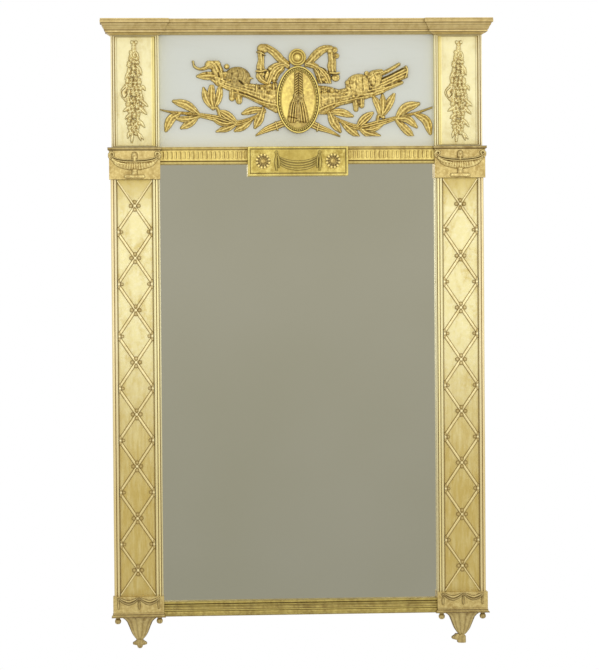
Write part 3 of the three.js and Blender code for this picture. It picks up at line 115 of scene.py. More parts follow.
# A material's nodes, with short calls for the few kinds that are used.
class Tree:

    def __init__(self, name):
        self.material = bpy.data.materials.new(name)
        self.material.use_nodes = True
        self.nodes = self.material.node_tree.nodes
        self.links = self.material.node_tree.links
        self.shader = self.nodes["Principled BSDF"]
        self.place = self.nodes.new("ShaderNodeTexCoord").outputs["Object"]

    def put(self, socket, value):
        if isinstance(value, bpy.types.NodeSocket):
            self.links.new(value, socket)
        else:
            socket.default_value = value

    # A new node with its inputs set by name, and the output that is wanted of it.
    def node(self, kind, output, values):
        made = self.nodes.new("ShaderNode" + kind)
        for key, value in values.items():
            self.put(made.inputs[key], value)
        return made.outputs[output]

    def axis(self, name):
        return self.node("SeparateXYZ", name, {"Vector": self.place})

    def stretched(self, scale):
        return self.node("Mapping", "Vector", {"Vector": self.place, "Scale": scale})

    def noise(self, scale, detail=3.0, roughness=0.5, place=None, distortion=0.0):
        return self.node("TexNoise", "Fac", {"Vector": place or self.place, "Scale": scale, "Detail": detail,
                                             "Roughness": roughness, "Distortion": distortion})

    # A value between low and high, carried over evenly to start and end and held there.
    def band(self, value, low, high, start=0.0, end=1.0):
        return self.node("MapRange", "Result", {"Value": value, "From Min": low, "From Max": high,
                                                "To Min": start, "To Max": end})

    def math(self, kind, first, second=0.0):
        made = self.nodes.new("ShaderNodeMath")
        made.operation = kind
        self.put(made.inputs[0], first)
        self.put(made.inputs[1], second)
        return made.outputs["Value"]

    def mix(self, share, first, second):
        made = self.nodes.new("ShaderNodeMix")
        made.data_type = "RGBA"
        self.put(made.inputs["Factor"], share)
        colours = [s for s in made.inputs if s.type == "RGBA"]
        self.put(colours[0], first)
        self.put(colours[1], second)
        return [s for s in made.outputs if s.type == "RGBA"][0]

    def attribute(self, name):
        made = self.nodes.new("ShaderNodeAttribute")
        made.attribute_name = name
        return made.outputs["Fac"]

    def bump(self, height, strength, distance, under=None):
        values = {"Height": height, "Strength": strength, "Distance": distance}
        if under:
            values["Normal"] = under
        return self.node("Bump", "Normal", values)

    def finish(self, **values):
        names = {"colour": "Base Color", "metal": "Metallic", "rough": "Roughness", "normal": "Normal",
                 "shine": "Specular IOR Level"}
        for key, value in values.items():
            self.put(self.shader.inputs[names[key]], value)
        return self.material


# A part is a surface of points, quads and end caps, and then two tones for each point: the recess tone,
# where the gold is dark from grime and painted shade, and the edge tone, where it is pale from wear and a
# painted highlight.

# Quads between neighbouring rings of equally many points, with a flat cap on each end. The signed volume
# tells whether the faces have to be turned round.
def closedSkin(rings):
    rings = np.asarray(rings, float)
    ringCount, count = rings.shape[:2]
    points = rings.reshape(-1, 3)
    ring, step = np.meshgrid(np.arange(ringCount - 1) * count, np.arange(count), indexing="ij")
    after = (step + 1) % count
    quads = np.stack([ring + step, ring + after, ring + count + after, ring + count + step], -1)
    quads = quads.reshape(-1, 4)
    caps = [np.arange(count)[::-1], np.arange(count) + (ringCount - 1) * count]
    a, b, c, d = (points[quads[:, k]] for k in range(4))
    volume = np.einsum("ij,ij->", a, np.cross(b, c)) + np.einsum("ij,ij->", a, np.cross(c, d))
    for cap in caps:
        p = points[cap]
        fan = np.broadcast_to(p[0], p[1:-1].shape)
        volume += np.einsum("ij,ij->", fan, np.cross(p[1:-1], p[2:]))
    if volume < 0:
        quads = quads[:, ::-1]
        caps = [cap[::-1] for cap in caps]
    return points, quads, caps


# Several closed parts as one.
def merged(parts):
    surfaces, recess, edge = zip(*parts)
    points, quads, caps = [], [], []
    start = 0
    for partPoints, partQuads, partCaps in surfaces:
        points.append(partPoints)
        quads.append(partQuads + start)
        caps.extend(cap + start for cap in partCaps)
        start += len(partPoints)
    return (np.concatenate(points), np.concatenate(quads), caps), np.concatenate(recess), np.concatenate(edge)


# A mesh object from a part in millimetres, held inside the box of the CAD node that it replaces.
def addPiece(name, part, finish, sharpAbove=32.0):
    (points, quads, caps), *tones = part
    low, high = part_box(name)
    inside = 1e-6                     # metres, so that no rounding passes the box
    points = np.clip(points * 0.001, np.array(low) + inside, np.array(high) - inside)
    mesh = bpy.data.meshes.new(name)
    loops = np.concatenate([np.ravel(quads), *caps])
    sizes = np.concatenate([np.full(len(quads), 4), [len(cap) for cap in caps]]).astype(int)
    mesh.vertices.add(len(points))
    mesh.vertices.foreach_set("co", points.ravel())
    mesh.loops.add(len(loops))
    mesh.loops.foreach_set("vertex_index", loops.astype(np.int32))
    mesh.polygons.add(len(sizes))
    mesh.polygons.foreach_set("loop_start", (np.cumsum(sizes) - sizes).astype(np.int32))
    mesh.update(calc_edges=True)
    mesh.validate()
    mesh.polygons.foreach_set("use_smooth", np.ones(len(mesh.polygons), bool))
    mesh.set_sharp_from_angle(angle=radians(sharpAbove))
    for key, tone in zip(("recess", "edge"), tones or np.zeros((2, len(points)))):
        mesh.attributes.new(key, "FLOAT", "POINT").data.foreach_set("value", tone.astype(np.float32))
    mesh.materials.append(finishes[finish])
    piece = bpy.data.objects.new(name + "_piece", mesh)
    bpy.context.scene.collection.objects.link(piece)
    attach(piece, "frame")
    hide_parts(name)
    return piece


# The part for the left side is the right-hand one mirrored, its faces turned to point outwards again.
def onSide(part, sign):
    if sign > 0:
        return part
    (points, quads, caps), *tones = part
    return (points * [-1, 1, 1], quads[:, ::-1], [cap[::-1] for cap in caps]), *tones


# Both sides of a piece, from its right-hand part.
def addPair(name, right, finish):
    for side, sign in sides.items():
        addPiece(f"{side}_{name}", onSide(right, sign), finish)


# A part moved along the axes.
def shifted(part, x=0.0, y=0.0, z=0.0):
    (points, quads, caps), *tones = part
    return (points + [x, y, z], quads, caps), *tones


# Evenly spaced readings of a list at shares from 0 to 1, joined by straight lines.
def along(points, share):
    points = np.asarray(points, float)
    if points.ndim == 1:
        return np.interp(share, np.linspace(0, 1, len(points)), points)
    return np.stack([along(column, share) for column in points.T], -1)


# An average along one axis, weighed by a bell curve; spread is its standard deviation in samples.
def blurred(values, spread, axis=0, closed=False):
    half = max(1, int(np.ceil(spread * 3)))
    weights = np.exp(-0.5 * (np.arange(-half, half + 1) / spread) ** 2)
    weights /= weights.sum()
    pad = [(0, 0)] * values.ndim
    pad[axis] = (half, half)
    wide = np.pad(values, pad, mode="wrap" if closed else "edge")
    count = values.shape[axis]
    return sum(w * wide.take(np.arange(k, k + count), axis) for k, w in enumerate(weights))


# The same average both ways over a grid.
def smoothed(values, spread):
    return blurred(blurred(values, spread), spread, axis=1)


toneReach = 1.5                       # millimetres of a moulding that its tones are judged against


# A moulding's outline resampled at even steps, its corners eased. The recess tone, grime and painted shade,
# is how far the outline lies behind its own average over the tone reach, and the edge tone, wear and a
# painted highlight, how far it stands out.
def moulded(points, step=0.45, ease=0.35, depth=0.55, closed=False):
    points = np.asarray(points, float)
    if closed:
        points = np.vstack([points, points[:1]])
    travel = np.concatenate([[0], np.cumsum(np.linalg.norm(np.diff(points, axis=0), axis=1))])
    count = max(8, int(travel[-1] / step))
    places = np.linspace(0, travel[-1], count, endpoint=not closed)
    fine = np.stack([np.interp(places, travel, points[:, k]) for k in (0, 1)], -1)
    eased = blurred(fine, ease / step, closed=closed)
    if not closed:
        eased[0], eased[-1] = fine[0], fine[-1]
    wide = blurred(eased, toneReach / step, closed=closed)
    tangent = np.roll(eased, -1, 0) - np.roll(eased, 1, 0)
    if not closed:
        tangent[0], tangent[-1] = tangent[1], tangent[-2]
    tangent /= np.linalg.norm(tangent, axis=1, keepdims=True) + 1e-9
    out = np.stack([-tangent[:, 1], tangent[:, 0]], -1)
    x, y = eased.T
    turn = np.sum(x * np.roll(y, -1) - np.roll(x, -1) * y)
    out *= -np.sign(turn)
    stand = np.einsum("ij,ij->i", wide - eased, out) / depth
    return eased, np.clip(stand, 0, 1), np.clip(-stand, 0, 1)


# Painted shade lines and painted highlight lines along a moulding: at each [drop, half width, share] a bell
# curve of that height is laid over the tone.
def withPaintedLines(tone, drop, lines):
    for middle, width, share in lines:
        tone = np.maximum(tone, share * np.exp(-((drop - middle) / width) ** 2))
    return tone


# An outline of [across, forward] points carried between two sets of ends along its length.
def prism(outline, tones, ends):
    across, forward = outline.T
    rings = [np.stack([across, -forward, np.full(len(across), z)], -1) for z in ends]
    return closedSkin(rings), np.tile(tones[0], 2), np.tile(tones[1], 2)


# A moulding of [out, drop] points carried round corners. A station gives a corner of the base line,
# how far it moves for each millimetre out, and the back point that closes the section there.
def mitred(profile, tones, stations):
    out, drop = profile.T
    rings = []
    for corner, mitre, back in stations:
        x, y = corner[0] + mitre[0] * out, corner[1] + mitre[1] * out
        front = np.stack([x, y, up(drop)], -1)
        closing = np.array([[*back, up(drop[-1])], [*back, up(drop[0])]])
        rings.append(np.vstack([front, closing]))
    wide = [np.append(tone, [0.0, 0.0]) for tone in tones]
    return closedSkin(rings), np.tile(wide[0], len(stations)), np.tile(wide[1], len(stations))


# A board with a moulding mitred round it, from [inset, forward] points that end at the field: nested
# rings of four corners, with the flat back first.
def framedBoard(x0, x1, z0, z1, back, profile, tones, endShare=1.0):
    inset, forward = np.vstack([[profile[0, 0], 0.0], profile]).T
    left, right, foot, top = x0 + inset, x1 - inset, z0 + inset * endShare, z1 - inset * endShare
    y = back - forward
    rings = np.stack([np.stack([x, y, z], -1)
                      for x, z in ((left, foot), (right, foot), (right, top), (left, top))], 1)
    return closedSkin(rings), *(np.repeat(np.append(0.0, tone), 4) for tone in tones)


carving = {
    "cell": 0.8,                      # millimetres between the points of a carved surface
    "fineCell": 0.6,
    "curvePoints": 44,
    # The tones: grime and painted shade in hollows and along the outline, wear and a painted highlight on
    # ridges.
    "hollowReach": 2.6,               # the tone in hollows compares a height with its average this far round
    "hollowDepth": 2.2,
    "edgeReach": 1.3,
    "edgeDepth": 0.7,
    "outlineWidth": 2.4,              # the tone darkens over this distance towards the outline
    "outlineTone": 0.85,
    "petalRate": 2.2,                 # petals deepen outwards at this rate
    "chipReach": 1.9,                 # the size of the small irregular cuts all over a carving
    "chipsAbove": 1.0,
    "thinnest": 0.3,
    "besides": 2.0,                   # a mark is worked out over its own box and this much more
    "farOutside": 50.0,
    "rimShare": 0.6,                  # a point at the rim moves no further than this share of a cell
    "sharpAbove": 80.0,
}


# A raised mark along a curve through the points. Its flutes run along it, its rings across it or at a
# slant, both as deep as the cut; shade darkens it all over.
def stroke(points, widths, height, heights=(1, 1), flutes=0, rings=0, slant=0.0, cut=0.3, sharp=0.55,
           shade=0.0):
    return {"points": points, "widths": widths, "height": height, "heights": heights, "flutes": flutes,
            "rings": rings, "slant": slant, "cut": cut, "sharp": sharp, "shade": shade}


# A laurel leaf: a stroke that is widest past its middle and thins towards its tip.
def leaf(points, halfWidth, height, flutes=2, cut=0.3):
    return stroke(points, [halfWidth * w for w in (0.5, 0.95, 1.22, 1.26, 1.06, 0.5)], height,
                  (0.8, 1.0, 1.0, 0.95, 0.85, 0.6), flutes=flutes, cut=cut, sharp=0.5)


# A raised oval. Its petals wave round it and its rings from the middle outwards, as deep as the cut.
def dome(centre, halfWidth, halfHeight, height, petals=0, rings=0.0, cut=0.3, turn=0.0, sharp=0.55,
         shade=0.0):
    return {"centre": centre, "halves": (halfWidth, halfHeight), "height": height, "petals": petals,
            "rings": rings, "cut": cut, "turn": turn, "sharp": sharp, "shade": shade}


# A cut line, made after the raised marks.
def groove(points, width, depth):
    return {"points": points, "widths": [width, width], "depth": depth}


# A smooth curve through the points: each span is a cubic, and the slope at a point is half the step
# between the points before and after it.
def smoothCurve(points, count):
    points = np.asarray(points, float)
    if len(points) == 2:
        return along(points, np.linspace(0, 1, count))
    wide = np.vstack([2 * points[0] - points[1], points, 2 * points[-1] - points[-2]])
    place = np.linspace(0, len(points) - 1, count)
    span = np.minimum(place.astype(int), len(points) - 2)
    t = (place - span)[:, None]
    p0, p1, p2, p3 = (wide[span + k] for k in range(4))
    return 0.5 * (2 * p1 + (p2 - p0) * t + (2 * p0 - 5 * p1 + 4 * p2 - p3) * t ** 2
                  + (3 * p1 - p0 - 3 * p2 + p3) * t ** 3)


# For each point, how far along the curve its nearest place is, how far across it lies as a share of
# the half width there, that share with the distance past an end added, and the half width.
def strokePlaces(x, drop, mark):
    path = smoothCurve(mark["points"], carving["curvePoints"])
    steps = np.linalg.norm(np.diff(path, axis=0), axis=1)
    tangent = np.gradient(path, axis=0)
    tangent /= np.linalg.norm(tangent, axis=1, keepdims=True)
    far = (x[:, None] - path[:, 0]) ** 2 + (drop[:, None] - path[:, 1]) ** 2
    near = far.argmin(1)
    toPoint = np.stack([x, drop], -1) - path[near]
    ahead = np.einsum("ij,ij->i", toPoint, tangent[near])
    across = toPoint[:, 0] * tangent[near, 1] - toPoint[:, 1] * tangent[near, 0]
    last = len(path) - 1
    share = np.clip(near / last + ahead / steps.sum(), 0, 1)
    beyond = np.where((near == 0) & (ahead < 0), -ahead, np.where((near == last) & (ahead > 0), ahead, 0))
    half = along(mark["widths"], share)
    u = across / half
    return share, u, np.hypot(u, beyond / half), half


# A cosine between 0 and 1, by which cuts deepen.
def wave(angle):
    return 0.5 + 0.5 * np.cos(angle)


# The height of one mark at each point, by a power of one less the squared distance from its middle, less
# its waves, and the signed distance outside the mark's edge.
def raised(x, drop, mark):
    cut, rings = mark["cut"], mark["rings"]
    if "centre" in mark:
        dx, dd = x - mark["centre"][0], drop - mark["centre"][1]
        wide, high = mark["halves"]
        r = np.hypot(dx / wide, dd / high)
        angle = np.arctan2(dd / high, dx / wide) + mark["turn"]
        form = np.clip(1 - r ** 2, 0, 1) ** mark["sharp"]
        if mark["petals"]:
            form *= 1 - cut * wave(mark["petals"] * angle) * np.clip(r * carving["petalRate"], 0, 1)
        if rings:
            form *= 1 - cut * wave(2 * pi * rings * r + pi)
        return form * mark["height"], (r - 1) * min(wide, high)
    share, u, r, half = strokePlaces(x, drop, mark)
    form = np.clip(1 - r ** 2, 0, 1) ** mark["sharp"] * along(mark["heights"], share)
    if mark["flutes"]:
        form *= 1 - cut * wave(pi * mark["flutes"] * (u + 1) + pi * (mark["flutes"] + 1))
    if rings:
        form *= 1 - cut * wave(2 * pi * (rings * share + mark["slant"] * u))
    return form * mark["height"], (r - 1) * half


# The smallest and largest x and drop that a mark can touch.
def markBox(mark):
    if "centre" in mark:
        middle, half = np.array(mark["centre"], float), np.array(mark["halves"], float)
        return middle - half, middle + half
    path, half = smoothCurve(mark["points"], carving["curvePoints"]), max(mark["widths"])
    return path.min(0) - half * 1.1, path.max(0) + half * 1.1


# The greatest height of all marks at each grid point, less the grooves, the distance outside them and
# the shade of the mark that is highest there.
def carvedField(marks, xs, downs):
    height = np.zeros((len(downs), len(xs)))
    outside = np.full(height.shape, carving["farOutside"])
    shade = np.zeros(height.shape)
    for mark in sorted(marks, key=lambda m: "depth" in m):
        low, high = (end + sign * carving["besides"] for end, sign in zip(markBox(mark), (-1, 1)))
        i0, i1 = np.searchsorted(xs, (low[0], high[0]))
        j0, j1 = np.searchsorted(downs, (low[1], high[1]))
        if i1 <= i0 or j1 <= j0:
            continue
        x, drop = (g.ravel() for g in np.meshgrid(xs[i0:i1], downs[j0:j1]))
        window = (slice(j0, j1), slice(i0, i1))
        shape = (j1 - j0, i1 - i0)
        if "depth" in mark:
            r = strokePlaces(x, drop, mark)[2].reshape(shape)
            height[window] -= mark["depth"] * np.exp(-2 * r ** 2) * (height[window] > 0)
        else:
            rise, away = (value.reshape(shape) for value in raised(x, drop, mark))
            shade[window] = np.where(rise > height[window], mark["shade"], shade[window])
            height[window] = np.maximum(height[window], rise)
            outside[window] = np.minimum(outside[window], away)
    return np.maximum(height, 0), outside, shade


# Two sheets over the grid cells that lie on the carving: the front at the ground less the height, the
# back at the ground, joined at the rim, whose points are moved onto the carving's true outline.
def reliefPart(height, outside, shade, xs, downs, ground):
    on = outside < 0
    cells = on[:-1, :-1] & on[:-1, 1:] & on[1:, :-1] & on[1:, 1:]
    around = np.pad(cells, 1)
    touching = np.stack([around[:-1, :-1], around[:-1, 1:], around[1:, :-1], around[1:, 1:]])
    used, inner = touching.any(0), touching.all(0)
    rim = used & ~inner
    x, drop = np.meshgrid(xs, downs)
    slopeD, slopeX = np.gradient(outside, downs, xs)
    steep = slopeX ** 2 + slopeD ** 2 + 1e-6
    cell = carving["cell"]
    most = cell * carving["rimShare"]
    x = x - np.where(rim, np.clip(outside * slopeX / steep, -most, most), 0)
    drop = drop - np.where(rim, np.clip(outside * slopeD / steep, -most, most), 0)
    frontIndex = np.cumsum(used).reshape(used.shape) - 1
    frontCount = int(used.sum())
    backIndex = np.where(inner, frontCount + np.cumsum(inner).reshape(inner.shape) - 1, frontIndex)
    front = np.stack([x[used], ground - np.where(inner, height, 0)[used], up(drop[used])], -1)
    back = np.stack([x[inner], np.full(int(inner.sum()), ground), up(drop[inner])], -1)
    j, i = np.nonzero(cells)
    corners = ((j + 1, i), (j + 1, i + 1), (j, i + 1), (j, i))
    frontQuads = np.stack([frontIndex[c] for c in corners], -1)
    backQuads = np.stack([backIndex[c] for c in corners], -1)[:, ::-1]
    # The recess tone: grime and painted shade in hollows, painted shade along the outline and under shaded
    # marks. The edge tone: wear and a painted highlight on the ridges.
    hollow = (smoothed(height, carving["hollowReach"] / cell) - height) / carving["hollowDepth"]
    ridge = (height - smoothed(height, carving["edgeReach"] / cell)) / carving["edgeDepth"]
    outline = carving["outlineTone"] * np.clip(1 + outside / carving["outlineWidth"], 0, 1)
    none = np.zeros(len(back))
    recess = np.concatenate([np.clip(np.maximum(hollow, outline) + shade, 0, 1)[used], none])
    edge = np.concatenate([np.clip(ridge - shade, 0, 1)[used], none])
    surface = np.concatenate([front, back]), np.concatenate([frontQuads, backQuads]), []
    return surface, recess, edge


# A carving inside its CAD node's box, as deep as that box and with its flat back at the box's back. The
# small cuts are a seeded noise, averaged over the reach of a cut.
def addRelief(name, marks, finish="carved", axis=0.0, cell=carving["cell"], chipDepth=0.25, lower=0.0):
    low, high = boxOf(name)
    xs = np.linspace(low[0], high[0], int((high[0] - low[0]) / cell)) - axis
    downs = np.linspace(up(high[2]), up(low[2]), int((high[2] - low[2]) / cell)) - lower
    height, outside, shade = carvedField(marks, xs, downs)
    chips = smoothed(np.random.default_rng(len(marks)).normal(size=height.shape), carving["chipReach"] / cell)
    height = np.where(height > carving["chipsAbove"], height + chipDepth * chips / chips.std(), height)
    clear = 0.01                      # kept free at the front and at the back of the box
    height *= (high[1] - low[1] - 2 * clear) / height.max()
    height = np.where(outside < 0, np.maximum(height, carving["thinnest"]), 0)
    part = reliefPart(height, outside, shade, xs, downs, high[1] - clear)
    return addPiece(name, shifted(part, axis, 0, -lower), finish, carving["sharpAbove"])


# The carvings, drawn with points [x, drop] from the axis of each piece. Widths are half widths.
leftRibbon = [
    stroke([[-20, 110], [-34, 100], [-46, 87], [-58, 76], [-74, 67]], [9, 10, 10.5, 9.5, 9], 12,
           [0.8, 1, 1, 1.1], flutes=2, cut=0.22),
    dome([-81, 70], 14, 12.5, 14, sharp=0.45),
    stroke([[-95, 78], [-86, 80], [-76, 86]], [2.2, 2.6, 2], 15),
    stroke([[-86, 80], [-85, 97], [-87, 112], [-86, 120]], [8.5, 8, 10, 10.5], 12.5, [1, 0.8, 1], flutes=2,
           cut=0.22),
    stroke([[-98, 124], [-86, 125], [-74, 122]], [3, 3.4, 3], 15),
    dome([-87, 131], 11, 8, 13.5, rings=1.0, cut=0.25),
    stroke([[-90, 136], [-84, 145], [-72, 152]], [9, 8, 5], 11.5, flutes=2, cut=0.25),
    stroke([[-22, 107], [-44, 111], [-58, 121], [-66, 136], [-70, 151]], [6, 9, 13, 13, 8], 12,
           [0.8, 1, 1, 0.9], flutes=3, cut=0.25),
    stroke([[-36, 118], [-48, 130], [-54, 146]], [8, 9, 7], 11, flutes=2, cut=0.25),
    dome([-63, 119], 7, 6, 15),
    dome([-54, 142], 7, 7, 14.5),
    groove([[-71, 118], [-66, 128], [-70, 144]], 1.6, 3.5),
]

rightRibbon = [
    stroke([[20, 107], [32, 99], [43, 87], [55, 76], [68, 69], [82, 68]], [7, 9, 11, 11, 9.5, 8], 12,
           [0.8, 1, 1, 1.1], flutes=2, cut=0.22),
    dome([91, 72], 8.5, 8.5, 15, rings=1.0, cut=0.25),
    dome([96, 86], 7.5, 7, 14.5, rings=1.0, cut=0.25),
    dome([80, 74], 7, 8, 14),
    stroke([[84, 80], [86, 98], [85, 110], [86, 122]], [9, 10, 11.5, 10], 12.5, [1, 0.85, 1, 1], flutes=2,
           cut=0.22),
    stroke([[80, 127], [92, 128], [103, 127]], [3, 3.4, 3], 15),
    dome([94, 138], 10.5, 10, 13.5, rings=1.0, cut=0.25),
    stroke([[24, 104], [36, 107], [48, 112]], [8, 9, 7], 12, flutes=2, cut=0.25),
    stroke([[48, 114], [60, 124], [70, 138], [76, 150]], [5, 12, 15, 9], 13, [0.9, 1, 1, 0.8], flutes=4,
           cut=0.25),
    stroke([[44, 118], [52, 130], [58, 148]], [5, 8, 8], 11.5, flutes=2, cut=0.25),
    dome([64, 142], 8, 7, 15.5),
    groove([[56, 112], [66, 118], [74, 128]], 1.6, 4),
    groove([[52, 118], [58, 132], [70, 146]], 1.4, 3),
]

torch = [
    stroke([[-46, 188], [-80, 182], [-106, 175], [-132, 167], [-156, 160], [-184, 150]],
           [38, 26, 20, 17, 15, 12], 12, [1, 1, 1, 1.05], flutes=5, cut=0.16),
    stroke([[-48, 208], [-84, 200], [-118, 186], [-150, 176]], [9, 7, 5, 4], 14, flutes=2, cut=0.25),
    dome([-143, 143], 33, 29, 16, sharp=0.4, shade=0.25),
    stroke([[-114, 142], [-110, 142], [-105, 143]], [4, 3, 1.5], 10),
    dome([-168, 114], 7, 7, 13),
    dome([-201, 109], 20, 12.5, 14.5, sharp=0.45),
    stroke([[-196, 108], [-190, 126], [-186, 148]], [13, 15, 14], 14, flutes=3, cut=0.22),
    stroke([[-192, 108], [-206, 108], [-220, 117], [-233, 119.5], [-245, 114], [-249, 101]],
           [9, 9, 5.5, 3.8, 3.6, 3], 13, [1, 1, 0.85, 0.8], flutes=2, cut=0.25),
    leaf([[-186, 138], [-210, 136], [-238, 137]], 8.5, 12, flutes=2, cut=0.3),
    stroke([[-184, 152], [-194, 150], [-204, 146]], [8, 6, 3], 10),
    dome([-172, 136], 9, 11, 15.5, rings=1.1, cut=0.3),
    dome([-161, 147], 7, 4.5, 17.2),
    stroke([[-154, 170], [-156, 190]], [9, 7.5], 10, flutes=2, cut=0.25),
    stroke([[-142, 172], [-139, 197]], [13, 8], 11, flutes=2, cut=0.25),
    *(dome(place, wide, high, 15.5, petals=petals, cut=0.3) for place, wide, high, petals in (
        ([-68, 171], 10, 9, 6), ([-84, 168], 6, 8, 0), ([-97, 168], 4, 14, 0), ([-112, 166], 7, 7, 5),
        ([-133, 168], 7, 7, 5), ([-56, 164], 4, 12, 0), ([-122, 158], 6, 6, 0))),
    *(groove(line, 1.3, 1.7) for line in (
        [[-176, 124], [-170, 140], [-174, 158]], [[-158, 116], [-156, 134], [-160, 152]],
        [[-146, 114], [-141, 134], [-146, 154]], [[-133, 118], [-128, 134], [-134, 152]],
        [[-120, 128], [-119, 140], [-128, 158]], [[-104, 158], [-103, 172], [-104, 190]],
        [[-90, 158], [-90, 172], [-91, 190]], [[-76, 160], [-78, 176], [-78, 190]],
        [[-214, 104], [-200, 112], [-192, 130]], [[-204, 99], [-192, 110], [-184, 126]])),
    groove([[-189, 130], [-187, 138]], 3.4, 8),
    groove([[-138, 149], [-130, 156]], 3.0, 7),
]

quiver = [
    stroke([[51, 193], [76, 187], [104, 184], [136, 177], [168, 170], [204, 162]],
           [41, 31, 20, 20, 18, 14], 12, [1, 1, 1, 1.05], flutes=5, cut=0.16),
    stroke([[54, 214], [84, 201], [124, 192], [160, 184]], [11, 8, 6, 5], 14, flutes=2, cut=0.25),
    dome([150, 157], 33, 30, 16, sharp=0.4),
    dome([188, 140], 20, 22, 15.5, sharp=0.45),
    stroke([[176, 136], [190, 127], [203, 124]], [9, 9, 8], 15, flutes=2, cut=0.22),
    dome([169, 127], 6.5, 6.5, 14.5, rings=1.0, cut=0.3),
    stroke([[198, 131], [222, 120], [247, 105]], [5.5, 5.5, 4.6], 11, flutes=2, cut=0.2),
    stroke([[190, 158], [226, 142], [264, 124]], [14, 13, 14], 13, [1, 0.95, 0.95], flutes=4, cut=0.25),
    stroke([[264, 111], [267, 122], [262, 137]], [3.5, 3, 3], 14),
    stroke([[180, 176], [222, 160], [254, 149]], [9, 7, 4.4], 11, flutes=2, cut=0.25),
    stroke([[142, 190], [142.5, 213]], [9, 6.5], 10, flutes=2, cut=0.25),
    stroke([[155, 186], [156.5, 204]], [9, 7], 9, flutes=2, cut=0.25),
    *(dome(place, wide, high, 15.5, petals=petals, cut=0.3) for place, wide, high, petals in (
        ([66, 170], 11, 10, 6), ([84, 168], 7, 9, 0), ([103, 173], 6.5, 8, 5), ([114, 178], 6, 7, 5),
        ([104, 192], 8, 6, 5), ([122, 149], 6, 7, 0), ([136, 182], 6, 6, 0), ([178, 160], 8, 7, 5))),
    *(groove(line, 1.3, 1.7) for line in (
        [[132, 130], [127, 148], [131, 172]], [[146, 127], [142, 148], [145, 170]],
        [[160, 128], [158, 146], [160, 168]], [[176, 134], [173, 148], [176, 168]],
        [[58, 158], [59, 180], [58, 204]], [[74, 160], [75, 178], [74, 196]],
        [[93, 166], [94, 180], [92, 200]], [[197, 122], [204, 140], [200, 158]],
        [[184, 126], [190, 142], [186, 160]])),
    groove([[206, 140], [232, 128], [258, 115]], 1.6, 5),
]

torchFoot = [
    stroke([[30, 248], [52, 259], [76, 268], [103, 281]], [10, 9, 6, 2.5], 11, [1, 1, 0.8, 0.6],
           flutes=3, cut=0.4),
    stroke([[52, 250], [48, 268]], [2.4, 2.4], 11),
]

quiverFoot = [
    stroke([[-26, 246], [-50, 255], [-74, 264], [-99, 278]], [9, 10, 8, 2.5], 11, [1, 1, 0.8, 0.6],
           flutes=3, cut=0.4),
    stroke([[-52, 246], [-47, 266]], [2.4, 2.4], 11),
]

leftLaurel = [
    stroke([[-76, 222], [-112, 240], [-150, 250], [-196, 238], [-250, 228], [-300, 223], [-328, 217]],
           [4, 5, 8, 8.5, 5, 3.5, 2], 10, [0.8, 1, 1, 0.8, 0.6], flutes=3, cut=0.4),
    leaf([[-78, 218], [-106, 219], [-131, 227]], 7.5, 9),
    leaf([[-82, 214], [-90, 238], [-101, 260]], 9, 11),
    leaf([[-108, 241], [-128, 256], [-149, 268]], 8, 9),
    leaf([[-146, 248], [-166, 233], [-186, 221]], 9, 12, flutes=3),
    leaf([[-146, 252], [-168, 262], [-193, 270]], 7, 9),
    leaf([[-150, 250], [-180, 250], [-206, 236]], 6, 11),
    dome([-203, 213], 5.5, 5, 10),
    stroke([[-203, 214], [-192, 214], [-184, 234]], [3, 5, 5], 9, flutes=2),
    leaf([[-202, 216], [-217, 192], [-224, 166]], 7.5, 9),
    leaf([[-201, 214], [-206, 190], [-204, 154]], 8.5, 12),
    leaf([[-199, 214], [-188, 188], [-184, 158]], 7.5, 9),
    leaf([[-236, 228], [-264, 207], [-296, 197]], 9, 11),
    leaf([[-282, 226], [-303, 240], [-315, 267]], 9, 10),
    leaf([[-238, 232], [-256, 248], [-278, 261]], 8, 9),
    leaf([[-234, 234], [-262, 240], [-290, 239]], 7, 11),
]

rightLaurel = [
    stroke([[74, 224], [106, 242], [148, 257], [196, 248], [244, 234], [292, 222], [327, 210]],
           [4, 5, 8, 8.5, 5, 3.5, 2.5], 10, [0.8, 1, 1, 0.8, 0.6], flutes=3, cut=0.4),
    leaf([[78, 221], [106, 221], [134, 230]], 8, 9),
    leaf([[78, 220], [88, 244], [104, 267]], 9, 11),
    leaf([[106, 242], [128, 262], [148, 278]], 8, 9),
    leaf([[146, 256], [162, 238], [182, 223]], 9, 12, flutes=3),
    leaf([[148, 256], [172, 272], [199, 278]], 8, 9),
    leaf([[160, 262], [182, 262], [206, 252]], 6, 11),
    dome([208, 233], 5.5, 5, 10),
    stroke([[206, 232], [197, 230], [194, 248]], [3, 5, 5], 9, flutes=2),
    leaf([[204, 232], [220, 205], [235, 178]], 8.5, 10),
    leaf([[204, 232], [208, 208], [207, 180]], 8, 12),
    leaf([[202, 232], [197, 206], [184, 182]], 7.5, 9),
    leaf([[240, 238], [262, 212], [294, 201]], 10, 11),
    leaf([[286, 226], [312, 242], [322, 273]], 9, 10),
    leaf([[238, 238], [262, 262], [280, 280]], 8, 9),
    leaf([[236, 236], [266, 238], [289, 257]], 8, 11),
]

flowers = {
    "rowPitch": 1.25, "spacing": 1.5, "sizes": (0.75, 1.15),    # as shares of the flower's size
    "nudgeAcross": 1.5, "nudgeDown": 2, "petals": (3, 7), "cut": 0.42, "turn": 3,
    "sideHeight": 0.62, "heights": (0.75, 1.05),
}


